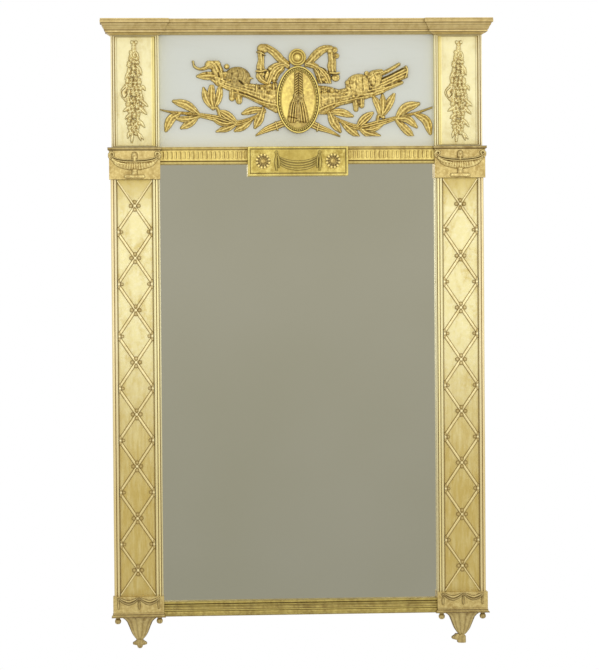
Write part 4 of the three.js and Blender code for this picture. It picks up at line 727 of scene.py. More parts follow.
# A dense bunch of small flowers and fruit: rows of domes fill the width given at each drop by
# [drop, left, right], nudged and turned by a seeded generator, and stand highest in the middle.
def bunch(rows, size, height, seed):
    chance = np.random.default_rng(seed)
    rows = np.array(rows, float)
    across, down, side = flowers["nudgeAcross"], flowers["nudgeDown"], flowers["sideHeight"]
    marks = []
    for drop in np.arange(rows[0, 0], rows[-1, 0], size * flowers["rowPitch"]):
        left, right = (np.interp(drop, rows[:, 0], rows[:, k]) for k in (1, 2))
        count = max(1, int(round((right - left) / (size * flowers["spacing"]))))
        for place in (np.arange(count) + 0.5) / count:
            x = left + place * (right - left) + chance.uniform(-across, across)
            y = drop + chance.uniform(-down, down)
            wide, high = size * chance.uniform(*flowers["sizes"], 2)
            rise = height * (side + (1 - side) * sin(pi * place)) * chance.uniform(*flowers["heights"])
            marks.append(dome([x, y], wide, high, rise, petals=int(chance.integers(*flowers["petals"])),
                              cut=flowers["cut"], turn=chance.uniform(0, flowers["turn"]), sharp=0.5))
    return marks


garland = [
    *bunch([[80, -9, 5], [100, -15, 10], [120, -17, 13], [140, -20, 14], [160, -25, 17], [176, -30, 20],
            [190, -24, 21], [204, -20, 22], [214, -18, 20], [226, -14, 15], [238, -18, 11], [252, -19, 14],
            [266, -16, 11], [276, -13, 8]], size=6.2, height=11.5, seed=3),
    dome([-5.5, 55], 4, 5, 9),
    dome([4.5, 55], 4, 5, 9),
    stroke([[-1, 56], [-1, 70], [-2, 92]], [5, 6, 8], 8, flutes=2, rings=4, cut=0.35),
    leaf([[-2, 74], [-8, 84], [-13, 100]], 3.1, 6),
    leaf([[1, 74], [7, 84], [10, 98]], 3.1, 6),
    leaf([[2, 108], [12, 118], [17, 133]], 3.9, 8),
    leaf([[-8, 118], [-16, 130], [-22, 143]], 3.5, 7),
    stroke([[-20, 162], [-27, 176], [-20, 192]], [7, 9.0, 6], 6.5, sharp=0.8, shade=0.15),
    groove([[-22, 164], [-31, 174], [-26, 188], [-18, 180], [-22, 174]], 1.2, 3.5),
    stroke([[-12, 172], [-16, 186], [-14, 202]], [5, 6, 4], 12, flutes=2),
    dome([-3, 132], 7, 6, 12, petals=5, cut=0.5),
    dome([-1, 176], 10, 9, 13, petals=6, cut=0.5, turn=0.3),
    dome([4, 206], 9, 9, 12.6, petals=6, cut=0.5),
    dome([-4, 256], 9, 9, 11.5, petals=5, cut=0.5),
    leaf([[14, 158], [21, 162], [25, 170]], 3.5, 8),
    leaf([[12, 192], [22, 200], [31, 208]], 3.9, 8),
    leaf([[8, 208], [19, 218], [28, 227]], 3.9, 8),
    leaf([[-8, 208], [-18, 214], [-27, 220]], 3.9, 8),
    leaf([[-8, 226], [-16, 231], [-22, 238]], 3.5, 8),
    leaf([[4, 238], [14, 246], [23, 258]], 3.9, 7),
    leaf([[-6, 262], [-14, 272], [-17, 284]], 3.5, 6),
    leaf([[0, 264], [9, 276], [14, 290]], 3.5, 6),
    leaf([[6, 270], [14, 278], [21, 288]], 2.7, 5),
    leaf([[-4, 264], [-7, 282], [-8, 298]], 3.5, 6.5),
]

urn = [
    stroke([[-57, 332], [-40, 345], [-18, 350], [0, 351], [18, 350], [40, 345], [57, 332]],
           [2, 7.5, 10, 10.8, 10, 7.5, 2], 9.0, [0.6, 0.9, 1, 1, 1, 0.9, 0.6], rings=19, cut=0.25),
    stroke([[-59, 326], [-48, 335.5], [-28, 340], [0, 341.5], [28, 340], [48, 335.5], [59, 326]], [2.6], 10,
           shade=0.2),
    stroke([[-60, 322], [-48, 331], [-28, 335.5], [0, 337], [28, 335.5], [48, 331], [60, 322]], [1.9], 10.6),
    stroke([[-53, 335], [-40, 343], [-20, 347]], [3, 4.5, 2], 10.6, sharp=0.4),
    *(stroke([[58 * side, 332], [61 * side, 325], [56 * side, 319], [50 * side, 321], [51 * side, 327]],
             [3.4, 3.8, 3.6, 3.2, 2.6], 9, shade=0.1) for side in (-1, 1)),
    stroke([[0, 324], [0, 331]], [7.6, 7.6], 8, sharp=0.4, shade=0.2),
    stroke([[0, 330], [0, 338]], [4, 4], 9),
    dome([0, 362], 7, 6, 9),
    stroke([[0, 362], [0, 372]], [7, 8], 7, shade=0.1),
    stroke([[-20, 376.3], [20, 376.3]], [5.0], 9, sharp=0.3),
    stroke([[-14, 377], [4, 377]], [2.6], 8.8, shade=0.15),
]


# The cord is two twisted strands side by side, and two tassels hang from its knot.
tassel = [
    *(stroke([[x, 126], [x * 1.25, 186]], [5.4, 6.2], 7, rings=10, slant=slant, cut=0.6, shade=0.05)
      for x, slant in ((-3.8, 0.7), (5.4, -0.7))),
    stroke([[0, 186], [0, 236]], [9], 3.4, sharp=0.3, shade=0.15),
    stroke([[-6, 190], [-11, 208], [-14.5, 238]], [7, 10.5, 12.5], 7, flutes=4, cut=0.6, sharp=0.35),
    stroke([[6, 192], [10, 215], [15, 250]], [7, 11, 12.8], 7, flutes=4, cut=0.6, sharp=0.35),
    stroke([[-7, 183], [9, 198]], [6], 7.6, rings=3, shade=0.2),
    stroke([[8, 183], [-9, 198]], [6], 7.6, rings=3, slant=0.4, shade=0.2),
    groove([[-23, 234], [-4, 238]], 1.6, 3.0),
    groove([[5, 246], [24, 248]], 1.4, 2.5),
]


swag = {"half": 47, "thick": 3.0, "height": 1.8, "bendAt": 0.55, "bendSag": 0.74}


# A fold of cloth hanging at a drop, lower in the middle by its sag.
def swagFold(drop, sag):
    half, bend, low = swag["half"], swag["half"] * swag["bendAt"], drop + sag * swag["bendSag"]
    return stroke([[-half, drop], [-bend, low], [0, drop + sag], [bend, low], [half, drop]],
                  [swag["thick"] * w for w in (0.6, 1, 1.15, 1, 0.6)], swag["height"], flutes=1, sharp=0.6)


tabletDrapery = [
    *(mark for side in (-1, 1) for mark in (
        dome([52 * side, 320.5], 4.6, 4.6, 6, rings=1.3, cut=0.5),
        stroke([[52 * side, 324], [53.5 * side, 344], [51.5 * side, 364]], [2.6, 4.6, 2.8], 7, flutes=2),
        stroke([[49 * side, 326], [46 * side, 340], [46 * side, 356]], [2.4, 3.4, 2.4], 5, flutes=1))),
    swagFold(331, 12), swagFold(336, 13.5), swagFold(341.5, 14), swagFold(347.5, 13.5),
]

plinthSwag = [
    *(mark for x in (-48, 2) for mark in (
        stroke([[x, 1387], [x + 11, 1396], [x + 24, 1400.5], [x + 38, 1396], [x + 48, 1387]],
               [2.2, 2.9, 3.4, 2.9, 2.2], 5, shade=0.25),
        stroke([[x + 2, 1385.5], [x + 12, 1391], [x + 24, 1394.6], [x + 36, 1391], [x + 46, 1385.5]],
               [1.8, 3, 3.6, 3, 1.8], 4.2))),
    *(mark for x in (-48, 1, 48) for mark in (
        dome([x, 1389], 4.4, 4.4, 6, rings=1.2, cut=0.5, shade=0.15),
        stroke([[x, 1391], [x, 1402], [x, 1411]], [2.2, 4, 2.8], 5.4, flutes=2, cut=0.5))),
]


gold = {
    "fields": {
        "pale": (229, 221, 184), "leaf": (223, 212, 157), "deep": (206, 186, 116), "hollow": (128, 102, 46),
        "low": (184, 161, 90), "shaded": (174, 146, 44), "warm": (250, 208, 118), "paintedHighlight": (255, 238, 148),
        "paintedLight": (242, 237, 196)},
    "trellis": {
        "pale": (246, 234, 184), "leaf": (230, 210, 144), "deep": (200, 175, 100), "hollow": (136, 108, 46),
        "low": (188, 165, 96), "shaded": (176, 148, 64)},
}
# The other gildings have the first four: pale for wear and painted highlights, sound leaf, worn leaf, and
# the hollow colour for grime and painted shade.
gold.update({name: dict(zip(("pale", "leaf", "deep", "hollow"), colours)) for name, colours in {
    "plain": ((216, 196, 132), (192, 170, 106), (168, 143, 82), (96, 74, 36)),
    "rail": ((226, 205, 124), (205, 182, 102), (176, 150, 80), (112, 87, 38)),
    "cornice": ((217, 196, 140), (198, 175, 114), (182, 157, 96), (112, 87, 42)),
    "toned": ((206, 188, 108), (178, 157, 80), (150, 128, 62), (88, 68, 30)),
    "tablet": ((222, 204, 120), (204, 184, 98), (160, 137, 60), (100, 80, 34)),
    "carved": ((250, 226, 140), (197, 170, 92), (166, 139, 72), (80, 60, 28)),
    "urn": ((255, 238, 166), (202, 176, 108), (174, 147, 84), (136, 108, 52)),
    "garland": ((255, 248, 196), (252, 234, 168), (222, 198, 130), (140, 110, 56)),
    "medallion": ((240, 220, 122), (208, 184, 106), (182, 155, 82), (96, 73, 32)),
}.items()})
# Bands of another colour: painted shade under the urn blocks, under the cornice and down the frame,
# painted light on the frieze fields, a painted highlight on the pilasters' returns, a warmer tone on the
# outer mouldings and a darker middle to the tablet. Each has its axis, its middle, how far from that it is
# full and where it ends, in metres, its share and its colour.
# Painted shadow of the urn blocks over the top of the pilasters.
ledges = [("Z", 0.373, 0.0, 0.075, 0.65, "shaded")]
# Painted light over the frieze fields, and painted shade at their foot.
friezeLedges = [("Z", 0.585, 0.125, 0.150, 0.36, "paintedLight"), ("Z", 0.450, 0.0, 0.06, 0.2, "shaded")]
# Painted shade under the cornice and at the foot of the frieze pilasters.
friezeEnds = [("Z", 0.7128, 0.0020, 0.0160, 0.2, "shaded"), ("Z", 0.4543, 0.0020, 0.0120, 0.15, "shaded")]
# Painted shade: the gold darkens towards the foot of the frame.
lowerHalf = [("Z", -0.700, 0.300, 0.660, 0.42, "low")]
frameSides = [("X", middle, 0.005, 0.009, 0.5, "warm") for middle in (-0.4435, 0.4435)]
# A painted highlight on the pilasters' returns beside the mirror.
frameSides += [("X", middle, 0.007, 0.011, 0.72, "paintedHighlight") for middle in (-0.3395, 0.3395)]
# The tablet is darker in its middle.
tabletMiddle = [("X", 0.0, 0.040, 0.066, 0.6, "deep")]
leafing = {
    "streaks": {"scale": 48.0, "upright": 0.45, "distortion": 0.4, "fade": 0.24},
    "grain": {"scale": 120.0, "upright": 0.16, "band": (0.36, 0.64, 1.14, 0.52)},
    "patches": {"scale": 130.0, "band": (0.44, 0.68)},
    "fine": {"scale": 420.0, "band": (0.60, 0.78), "share": 0.3},
    "toneTop": 0.02, "toneFoot": -0.36,    # the low colour comes in between these heights
    "wearAndHighlightShare": 0.8,
    "grimeAndShadePower": 0.75, "grimeAndShadeBand": (0.2, 0.8, 1.1, 0.8),    # the streaks thin the grime and painted shade out
    "rougher": 0.06, "smoother": 0.05, "grimeAndShadeRough": 0.25,
    "metal": 0.65, "grimeAndShadeMetal": 0.25,
    "leafBump": 0.12, "leafDepth": 0.0006, "toolDepth": 0.0016,
}


# Each band is laid on in full near its middle and fades out evenly to where it ends.
def banded(tree, under, bands, colours):
    for axis, middle, full, gone, share, colour in bands:
        near = tree.math("ABSOLUTE", tree.math("SUBTRACT", tree.axis(axis), middle))
        under = tree.mix(tree.band(near, gone, full, 0.0, share), under, linear(colours[colour]))
    return under


# Gold leaf over toned gesso. The colour runs from deep to pale with upright streaks and small patches,
# goes over to its low colour down the frame by the share in toneDown and with an upright grain, a painted
# shade that darkens the frame towards its foot, and is pale where the edge tone lies, from wear and a
# painted highlight, and dark where the recess tone lies, from grime and painted shade. The bands in shades
# lie under the speckled wear and the pale edges, those in overAll over them. The tool marks are a noise of
# a few millimetres, added to a fine one.
def giltFinish(name, colours, roughness=0.42, toneDown=0.0, hollowShare=0.9, toolMarks=0.1, deepShare=0.36,
               patchShare=0.75, shades=(), overAll=()):
    tree = Tree(name)
    pale, leafColour, deep, hollow = (linear(colours[key]) for key in ("pale", "leaf", "deep", "hollow"))
    recess, edge = tree.attribute("recess"), tree.attribute("edge")
    streak, grain, patch, speck = (leafing[key] for key in ("streaks", "grain", "patches", "fine"))
    streaks = tree.noise(streak["scale"], 4.0, 0.6, tree.stretched((1.0, 1.0, streak["upright"])),
                         streak["distortion"])
    patches, fine = tree.noise(patch["scale"], 3.0, 0.6), tree.noise(speck["scale"], 3.0, 0.6)
    colour = tree.mix(tree.band(streaks, deepShare, deepShare + streak["fade"]), deep, leafColour)
    colour = tree.mix(tree.band(patches, *patch["band"], 0.0, patchShare), colour, pale)
    # Painted shade: the low colour comes in towards the foot of the frame, broken by an upright grain.
    if toneDown:
        upright = tree.noise(grain["scale"], 3.0, 0.6, tree.stretched((1.0, 1.0, grain["upright"])))
        low = tree.math("MULTIPLY", tree.band(tree.axis("Z"), leafing["toneTop"], leafing["toneFoot"], 0.0,
                                              toneDown), tree.band(upright, *grain["band"]))
        colour = tree.mix(tree.math("MINIMUM", low, 1.0), colour, linear(colours["low"]))
    colour = banded(tree, colour, shades, colours)
    colour = tree.mix(tree.band(fine, *speck["band"], 0.0, speck["share"]), colour, deep)
    # Wear and a painted highlight: the edge tone turns the gold pale.
    colour = tree.mix(tree.math("MULTIPLY", edge, leafing["wearAndHighlightShare"]), colour, pale)
    colour = banded(tree, colour, overAll, colours)
    # Grime and painted shade: the recess tone turns the gold to its hollow colour, less metallic.
    grimeAndShade = tree.math("MULTIPLY", tree.math("POWER", recess, leafing["grimeAndShadePower"]),
                     tree.band(streaks, *leafing["grimeAndShadeBand"]))
    grimeAndShade = tree.math("MINIMUM", grimeAndShade, hollowShare)
    colour = tree.mix(grimeAndShade, colour, hollow)
    rough = tree.math("ADD", tree.band(streaks, 0.3, 0.7, roughness + leafing["rougher"],
                                       roughness - leafing["smoother"]),
                      tree.math("MULTIPLY", recess, leafing["grimeAndShadeRough"]))
    metal = tree.band(grimeAndShade, 0.0, 1.0, leafing["metal"], leafing["grimeAndShadeMetal"])
    laid = tree.bump(fine, leafing["leafBump"], leafing["leafDepth"])
    normal = tree.bump(patches, toolMarks, leafing["toolDepth"], laid)
    return tree.finish(colour=colour, rough=rough, metal=metal, normal=normal)


plainColours = {
    "paint": {"pale": (214, 216, 208), "clouded": (211, 214, 204), "brushed": (186, 186, 168),
              "paintedLightOverRail": (226, 226, 210)},
    "mirror": {"clear": (232, 231, 222), "clouded": (226, 225, 212), "specks": (120, 112, 92)},
    "wood": {"ground": (146, 112, 74), "grain": (104, 76, 48), "broad": (122, 98, 70)},
    "steel": {"clean": (142, 138, 130), "rusted": (98, 76, 56)},
}


# Broad clouding, faint brush marks along x, and painted light that makes the paint paler low over the rail.
def paintFinish():
    tree = Tree("pale_green_paint")
    pale, clouded, brushed, paintedLightOverRail = (linear(colour) for colour in plainColours["paint"].values())
    broad, brush = tree.noise(5.0, 3.0), tree.noise(60.0, 4.0, 0.6, tree.stretched((0.2, 1.0, 1.0)))
    colour = tree.mix(tree.band(broad, 0.3, 0.7), pale, clouded)
    colour = tree.mix(tree.band(brush, 0.55, 0.8, 0.0, 0.10), colour, brushed)
    # Painted light: the paint is paler low down, over the rail.
    colour = tree.mix(tree.band(tree.axis("Z"), 0.50, 0.455, 0.0, 0.9), colour, paintedLightOverRail)
    return tree.finish(colour=colour, rough=tree.band(brush, 0.3, 0.7, 0.48, 0.56), shine=0.3,
                       normal=tree.bump(brush, 0.05, 0.0008))


# A polished plate, faintly clouded and with a few dark specks.
def mirrorFinish():
    tree = Tree("mirror_plate")
    clear, clouded, speckColour = (linear(colour) for colour in plainColours["mirror"].values())
    cloud, specks = tree.noise(2.2, 2.0), tree.noise(170.0, 2.0, 0.7)
    colour = tree.mix(tree.band(cloud, 0.3, 0.7), clear, clouded)
    colour = tree.mix(tree.band(specks, 0.74, 0.8, 0.0, 0.12), colour, speckColour)
    return tree.finish(colour=colour, metal=1.0, rough=tree.band(cloud, 0.3, 0.7, 0.02, 0.035))


# Upright grain under a broad change of tone.
def woodFinish():
    tree = Tree("bare_wood")
    ground, grainColour, broadColour = (linear(colour) for colour in plainColours["wood"].values())
    grain = tree.noise(30.0, 5.0, 0.6, tree.stretched((6.0, 6.0, 0.5)), 0.6)
    broad = tree.noise(4.0, 2.0)
    colour = tree.mix(tree.band(grain, 0.3, 0.72), ground, grainColour)
    colour = tree.mix(tree.band(broad, 0.4, 0.7, 0.0, 0.5), colour, broadColour)
    return tree.finish(colour=colour, rough=tree.band(grain, 0.3, 0.7, 0.6, 0.78),
                       normal=tree.bump(grain, 0.25, 0.0006))


# Steel that dulls and roughens where it has rusted.
def steelFinish():
    tree = Tree("dull_steel")
    clean, rusted = (linear(colour) for colour in plainColours["steel"].values())
    fine, rust = tree.noise(700.0, 3.0), tree.noise(120.0, 4.0, 0.6)
    colour = tree.mix(tree.band(rust, 0.55, 0.75), clean, rusted)
    return tree.finish(colour=colour, metal=tree.band(rust, 0.55, 0.75, 0.95, 0.5),
                       rough=tree.band(rust, 0.4, 0.75, 0.32, 0.62), normal=tree.bump(fine, 0.15, 0.0003))


makeCamera()
finishes = {
    "fields": giltFinish("bright_gilding", gold["fields"], roughness=0.46, toneDown=1.0, hollowShare=0.8,
                         deepShare=0.26, patchShare=0.5, shades=ledges + friezeLedges + frameSides,
                         overAll=friezeEnds + lowerHalf),
    "trellis": giltFinish("trellis_gilding", gold["trellis"], roughness=0.46, toneDown=0.85,
                          hollowShare=0.85, shades=ledges, overAll=lowerHalf),
    "plain": giltFinish("worn_gilding", gold["plain"]),
    "cornice": giltFinish("cornice_gilding", gold["cornice"], deepShare=0.3, patchShare=0.5),
    "rail": giltFinish("rail_gilding", gold["rail"]),
    "toned": giltFinish("toned_gilding", gold["toned"]),
    "tablet": giltFinish("tablet_gilding", gold["tablet"], shades=tabletMiddle),
    "urn": giltFinish("urn_gilding", gold["urn"], roughness=0.4, toolMarks=0.3),
    "carved": giltFinish("carved_gilding", gold["carved"], roughness=0.34, toolMarks=0.8),
    "garland": giltFinish("garland_gilding", gold["garland"], roughness=0.4, hollowShare=0.58,
                          toolMarks=0.3),
    "medallion": giltFinish("medallion_gilding", gold["medallion"], roughness=0.38),
    "paint": paintFinish(),
    "silvering": mirrorFinish(),
    "bareWood": woodFinish(),
    "steel": steelFinish(),
}
report("finishes are ready")


cornice = {
    "projection": 25.0,
    "centreSetback": 13.0,
    "pilasterFrame": 20.0,
    "levels": [[25, 3.3], [25, 10.2], [21.5, 10.8]],
    "cyma": {"start": 10.9, "height": 15.7, "out": 21.5, "run": 6.5},
    "list": [[12.8, 27.0], [12.8, 32.0]],
    "cove": {"start": 32.4, "foot": 38.7, "out": 10.8, "left": 1.0},
    "centreDrops": [[3.3, 3.3], [10.8, 10.0], [27, 26.0], [32.4, 31.2], [38.7, 36.8]],    # shallower there
    # Painted shade: dark lines in the cornice's quirks and a light darkening over the fillet.
    "paintedShade": [[5, 5, 0.15], [11, 1.0, 0.8], [16.5, 1.2, 0.35], [27, 0.9, 0.85], [32.6, 0.8, 0.7]],
    "edgeShare": 0.5,
    "returnShade": 0.9,               # the return beside the frieze panel is in the shade
    "backs": {"return": 8, "corner": 14, "centre": 26},    # where each section closes, inside the piece
    "board": {"inset": 0.5, "foot": 3.0, "bevel": 0.0006},
}


# The cornice outline as [out, drop]: fillet, cyma by a half wave of the cosine, list and quarter-round cove.
def corniceOutline():
    t = np.linspace(0, 1, 14)
    cyma, cove = cornice["cyma"], cornice["cove"]
    bent = np.stack([cyma["out"] - cyma["run"] * (1 - np.cos(pi * t)) / 2,
                     cyma["start"] + t * cyma["height"]], -1)
    rise = np.sin(t * pi / 2)
    hollow = np.stack([cove["left"] + (cove["out"] - cove["left"]) * (1 - rise),
                       cove["start"] + (cove["foot"] - cove["start"]) * rise], -1)
    return np.vstack([cornice["levels"], bent, cornice["list"], hollow])


# The blocks and the set-back centre are the same outline mitred round them, under one thin board.
def makeCornice():
    outline, recess, edge = moulded(corniceOutline(), step=0.5, ease=0.4)
    tones = withPaintedLines(recess, outline[:, 1], cornice["paintedShade"]), edge * cornice["edgeShare"]
    half, outer, plane = cabinet["sightHalf"], cabinet["carcassOuter"], cabinet["frontPlane"]
    blockFace = plane + cornice["pilasterFrame"]
    centreFace = blockFace - cornice["centreSetback"]
    gap, backs, board = cabinet["gap"], cornice["backs"], cornice["board"]
    block = mitred(outline, tones, [
        ((half, -plane), (-1, 0), (half + backs["return"], -plane)),
        ((half, -blockFace), (-1, -1), (half + backs["corner"], -plane)),
        ((outer, -blockFace), (1, -1), (outer + gap, -plane)),
        ((outer, 0), (1, 0), (outer + gap, 0)),
    ])
    atReturn = slice(len(block[1]) // 4)
    block[1][atReturn] = np.maximum(block[1][atReturn], cornice["returnShade"])
    addPair("cornice_block", block, "cornice")
    asDrawn, asCut = np.array(cornice["centreDrops"]).T
    shallow = np.stack([outline[:, 0], np.interp(outline[:, 1], asDrawn, asCut)], -1)
    addPiece("cornice_centre", mitred(shallow, tones, [
        (((half - gap) * sign, -centreFace), (-sign, -1), ((half - backs["centre"]) * sign, -plane))
        for sign in (-1, 1)]), "cornice")
    overhang = cornice["projection"] - board["inset"]
    wide, inner = outer + overhang, half - overhang
    blockFront, centreFront = -blockFace - overhang, -centreFace - overhang
    plan = np.array([[-wide, 0], [-wide, blockFront], [-inner, blockFront], [-inner, centreFront],
                     [inner, centreFront], [inner, blockFront], [wide, blockFront], [wide, 0]])
    levels = [np.column_stack([plan, np.full(len(plan), up(drop))]) for drop in (board["foot"], 0.0)]
    top = addPiece("top_board", (closedSkin(levels),), "cornice")
    bevel = top.modifiers.new("soft edges", "BEVEL")
    bevel.width, bevel.segments, bevel.limit_method = board["bevel"], 2, "ANGLE"


friezePilaster = {
    "field": 13.0, "endShare": 4.5 / 14.5,    # the moulding is narrower at its ends than at its sides
    "top": 39.15, "foot": 305.85,
    "moulding": [[0, 6], [0.8, 7], [3, 7], [3.6, 4.6], [4.6, 4.6], [5, 6.2], [6.6, 7], [8.2, 6.2], [8.8, 3.2],
                 [9.4, 1.1], [11, 0.8], [14.5, 0], [16.5, 0]],
}


# A framed field on each side of the frieze panel.
def makeFriezePilasters():
    points = np.vstack([[0, 0.5], np.array(friezePilaster["moulding"]) + [0, friezePilaster["field"]]])
    profile, *tones = moulded(points, step=0.3, ease=0.25, depth=0.3)
    low, high = up(friezePilaster["foot"]), up(friezePilaster["top"])
    for side, sign in sides.items():
        x0, x1 = sorted((sign * cabinet["sightHalf"], sign * cabinet["carcassOuter"]))
        board = framedBoard(x0, x1, low, high, -cabinet["frontPlane"], profile, tones,
                            friezePilaster["endShare"])
        addPiece(side + "_frieze_pilaster", board, "fields")


tablet = {
    "half": 120.5, "top": 306.3, "height": 70.0,
    "border": [[0, 0.5], [0, 32.6], [0.9, 34], [4.3, 34], [5.0, 31.6], [7.0, 31.6], [7.6, 32.4], [10, 32.4]],
}


# A framed field on the middle line, over the rail.
def makeTablet():
    profile, *tones = moulded(tablet["border"], step=0.3, ease=0.25, depth=0.7)
    addPiece("centre_tablet", framedBoard(
        -tablet["half"], tablet["half"], up(tablet["top"] + tablet["height"]), up(tablet["top"]),
        -cabinet["frontPlane"], profile, tones), "tablet")


pilaster = {
    "inner": [[0, 0], [0, 13], [1.2, 16.6], [3.4, 18.4], [4, 16.4], [5.2, 16.4], [5.6, 19.6], [9.4, 19.6],
              [9.8, 17.6], [11, 17.6], [11.6, 19.9], [14.2, 21], [16.8, 19.9], [17.7, 16.2], [18.5, 15]],
    "outer": [[103, 15], [103.8, 16.4], [104.6, 19.9], [107.2, 21], [109.8, 19.9], [110.4, 17.6],
              [111.6, 17.6], [112, 19.2], [115, 19.2], [117.2, 17.8], [118, 15], [118, 0]],
    "top": 383.3, "foot": 1383.0,
    "paintedHighlightTo": 3.6,                  # the return towards the mirror gets a painted highlight
}


# One outline, the mouldings and the field between them, carried up from the plinth to the urn block.
def makePilasters():
    outline, recess, edge = moulded(pilaster["inner"] + pilaster["outer"], step=0.35, ease=0.25, depth=0.38,
                                    closed=True)
    # The return beside the mirror, which lies in shade, gets a painted highlight instead of its tones.
    paintedHighlight = outline[:, 0] < pilaster["paintedHighlightTo"]
    tones = np.where(paintedHighlight, 0.0, recess), np.where(paintedHighlight, 1.0, edge)
    outline = outline + [cabinet["sightHalf"], cabinet["frontPlane"]]
    addPair("pilaster", prism(outline, tones, (up(pilaster["foot"]), up(pilaster["top"]))), "fields")


# Nested rectangles: every level is [step out, drop], and the back stays flat.
def blockStack(profile, tones, inner, outer, depth):
    out, drop = profile.T
    plane = cabinet["frontPlane"]
    x0, x1, y, z, back = inner - out, outer + out, -(plane + depth + out), up(drop), np.full(len(out), -plane)
    corners = (x0, back, z), (x1, back, z), (x1, y, z), (x0, y, z)
    rings = np.stack([np.stack(corner, -1) for corner in corners], 1)
    return closedSkin(rings), *(np.repeat(tone, 4) for tone in tones)


blocks = {
    "urn_block": {
        "depth": 27.0,
        "profile": [[3.5, 306.3], [3.5, 311.6], [2.8, 312.6], [1.4, 313.2], [0.6, 313.7], [0, 313.8],
                    [0, 314.4], [0, 382.7]],
        # Painted shade: dark lines along the cap of the urn block.
        "paintedShade": [[306.3, 1.4, 0.9], [310.5, 2.5, 0.3], [313.9, 0.7, 0.6]]},
    "plinth": {
        "depth": 28.0,
        "profile": [[0, 1383], [0, 1423], [-0.8, 1423.6], [-0.8, 1424.6], [0.9, 1425.2], [1.1, 1427.4],
                    [0.2, 1428], [1.0, 1429], [2.4, 1430.4], [4, 1431.8], [4, 1433.7]],
        # Painted shade lines on the foot mouldings of the plinth.
        "paintedShade": [[1427.8, 0.7, 0.3], [1432.9, 1.2, 0.8]]},
}


# The urn blocks with their caps, and the plinths.
def makeBlocks():
    for name, block in blocks.items():
        profile, recess, edge = moulded(block["profile"], step=0.4, ease=0.25, depth=0.5)
        tones = withPaintedLines(recess, profile[:, 1], block["paintedShade"]), edge
        addPair(name, blockStack(profile, tones, cabinet["blockInner"], cabinet["blockOuter"],
                                 block["depth"]), "plain")


baseMoulding = {
    "outline": [[0, 1397.3], [10, 1397.3], [14, 1398], [16.4, 1400], [16, 1402.4], [14, 1403.8], [14, 1404.8],
                [17.2, 1405.4], [17.2, 1408], [15.6, 1408.8], [14.8, 1413], [15.6, 1417.4], [17.6, 1418.4],
                [17.6, 1420], [16, 1420.6], [18, 1422], [19, 1425], [19, 1428], [17.8, 1431], [16, 1432],
                [16, 1433.6], [0, 1433.6]],
    # Painted shade lines in the quirks of the base moulding.
    "paintedShade": [[1399, 2, 0.1], [1404.3, 0.8, 0.6], [1410, 5, 0.3], [1416, 1.0, 0.5], [1420.9, 0.8, 0.5],
              [1426, 5, 0.2], [1432.5, 1.2, 0.5]],
    # Painted highlight lines on two of its rounds.
    "paintedHighlight": [[1401, 1.6, 0.4], [1418.8, 1.2, 1.0]],
    "edgeShare": 0.3,
}


# The outline runs from plinth to plinth, and its ends keep clear of how far the plinths step out.
def makeBaseMoulding():
    outline, recess, edge = moulded(baseMoulding["outline"], step=0.4, ease=0.3, depth=0.5, closed=True)
    forward, drop = outline.T
    paintedHighlight = withPaintedLines(edge * baseMoulding["edgeShare"], drop, baseMoulding["paintedHighlight"])
    tones = [np.tile(tone, 2) for tone in (withPaintedLines(recess, drop, baseMoulding["paintedShade"]), paintedHighlight)]
    flare = np.array(blocks["plinth"]["profile"])
    room = np.interp(drop, flare[:, 1], np.maximum.accumulate(flare[:, 0].clip(0))) + cabinet["gap"]
    half = cabinet["blockInner"] - room
    rings = [np.stack([sign * half, -(cabinet["frontPlane"] + forward), up(drop)], -1) for sign in (-1, 1)]
    addPiece("base_moulding", (closedSkin(rings), *tones), "toned")


flutedRail = {
    "outline": [[18, 306], [18, 311.6], [15.6, 312.4], [15.6, 339], [13.4, 339.8], [13.4, 340.6],
                [16.4, 341.4], [17.6, 343.6], [16.8, 346], [14, 347.4], [10, 348]],
    "fluteCount": 20, "fluteHalf": 3.3, "fluteTop": 316.4, "fluteFoot": 335.0, "cut": 1.3, "cell": 0.55,
    "inner": 120.8, "outer": 329.7, "top": 306.0, "foot": 348.0,
    "capStart": 326.2, "underCap": 314.3,      # the end of the rail passes under the cap of the urn block
    # Painted shade lines on the rail's mouldings.
    "paintedShade": [[308, 2.6, 0.4], [311.8, 0.8, 0.7], [340.4, 1.5, 0.8], [345, 2.5, 0.15], [347.6, 0.9, 0.5]],
    # Painted shade on one side of each flute and a painted highlight on the other.
    "shade": {"from": -0.45, "side": 0.5, "floor": 0.05},
    "bright": {"from": -0.2, "share": 0.6, "darkest": 0.2},
}


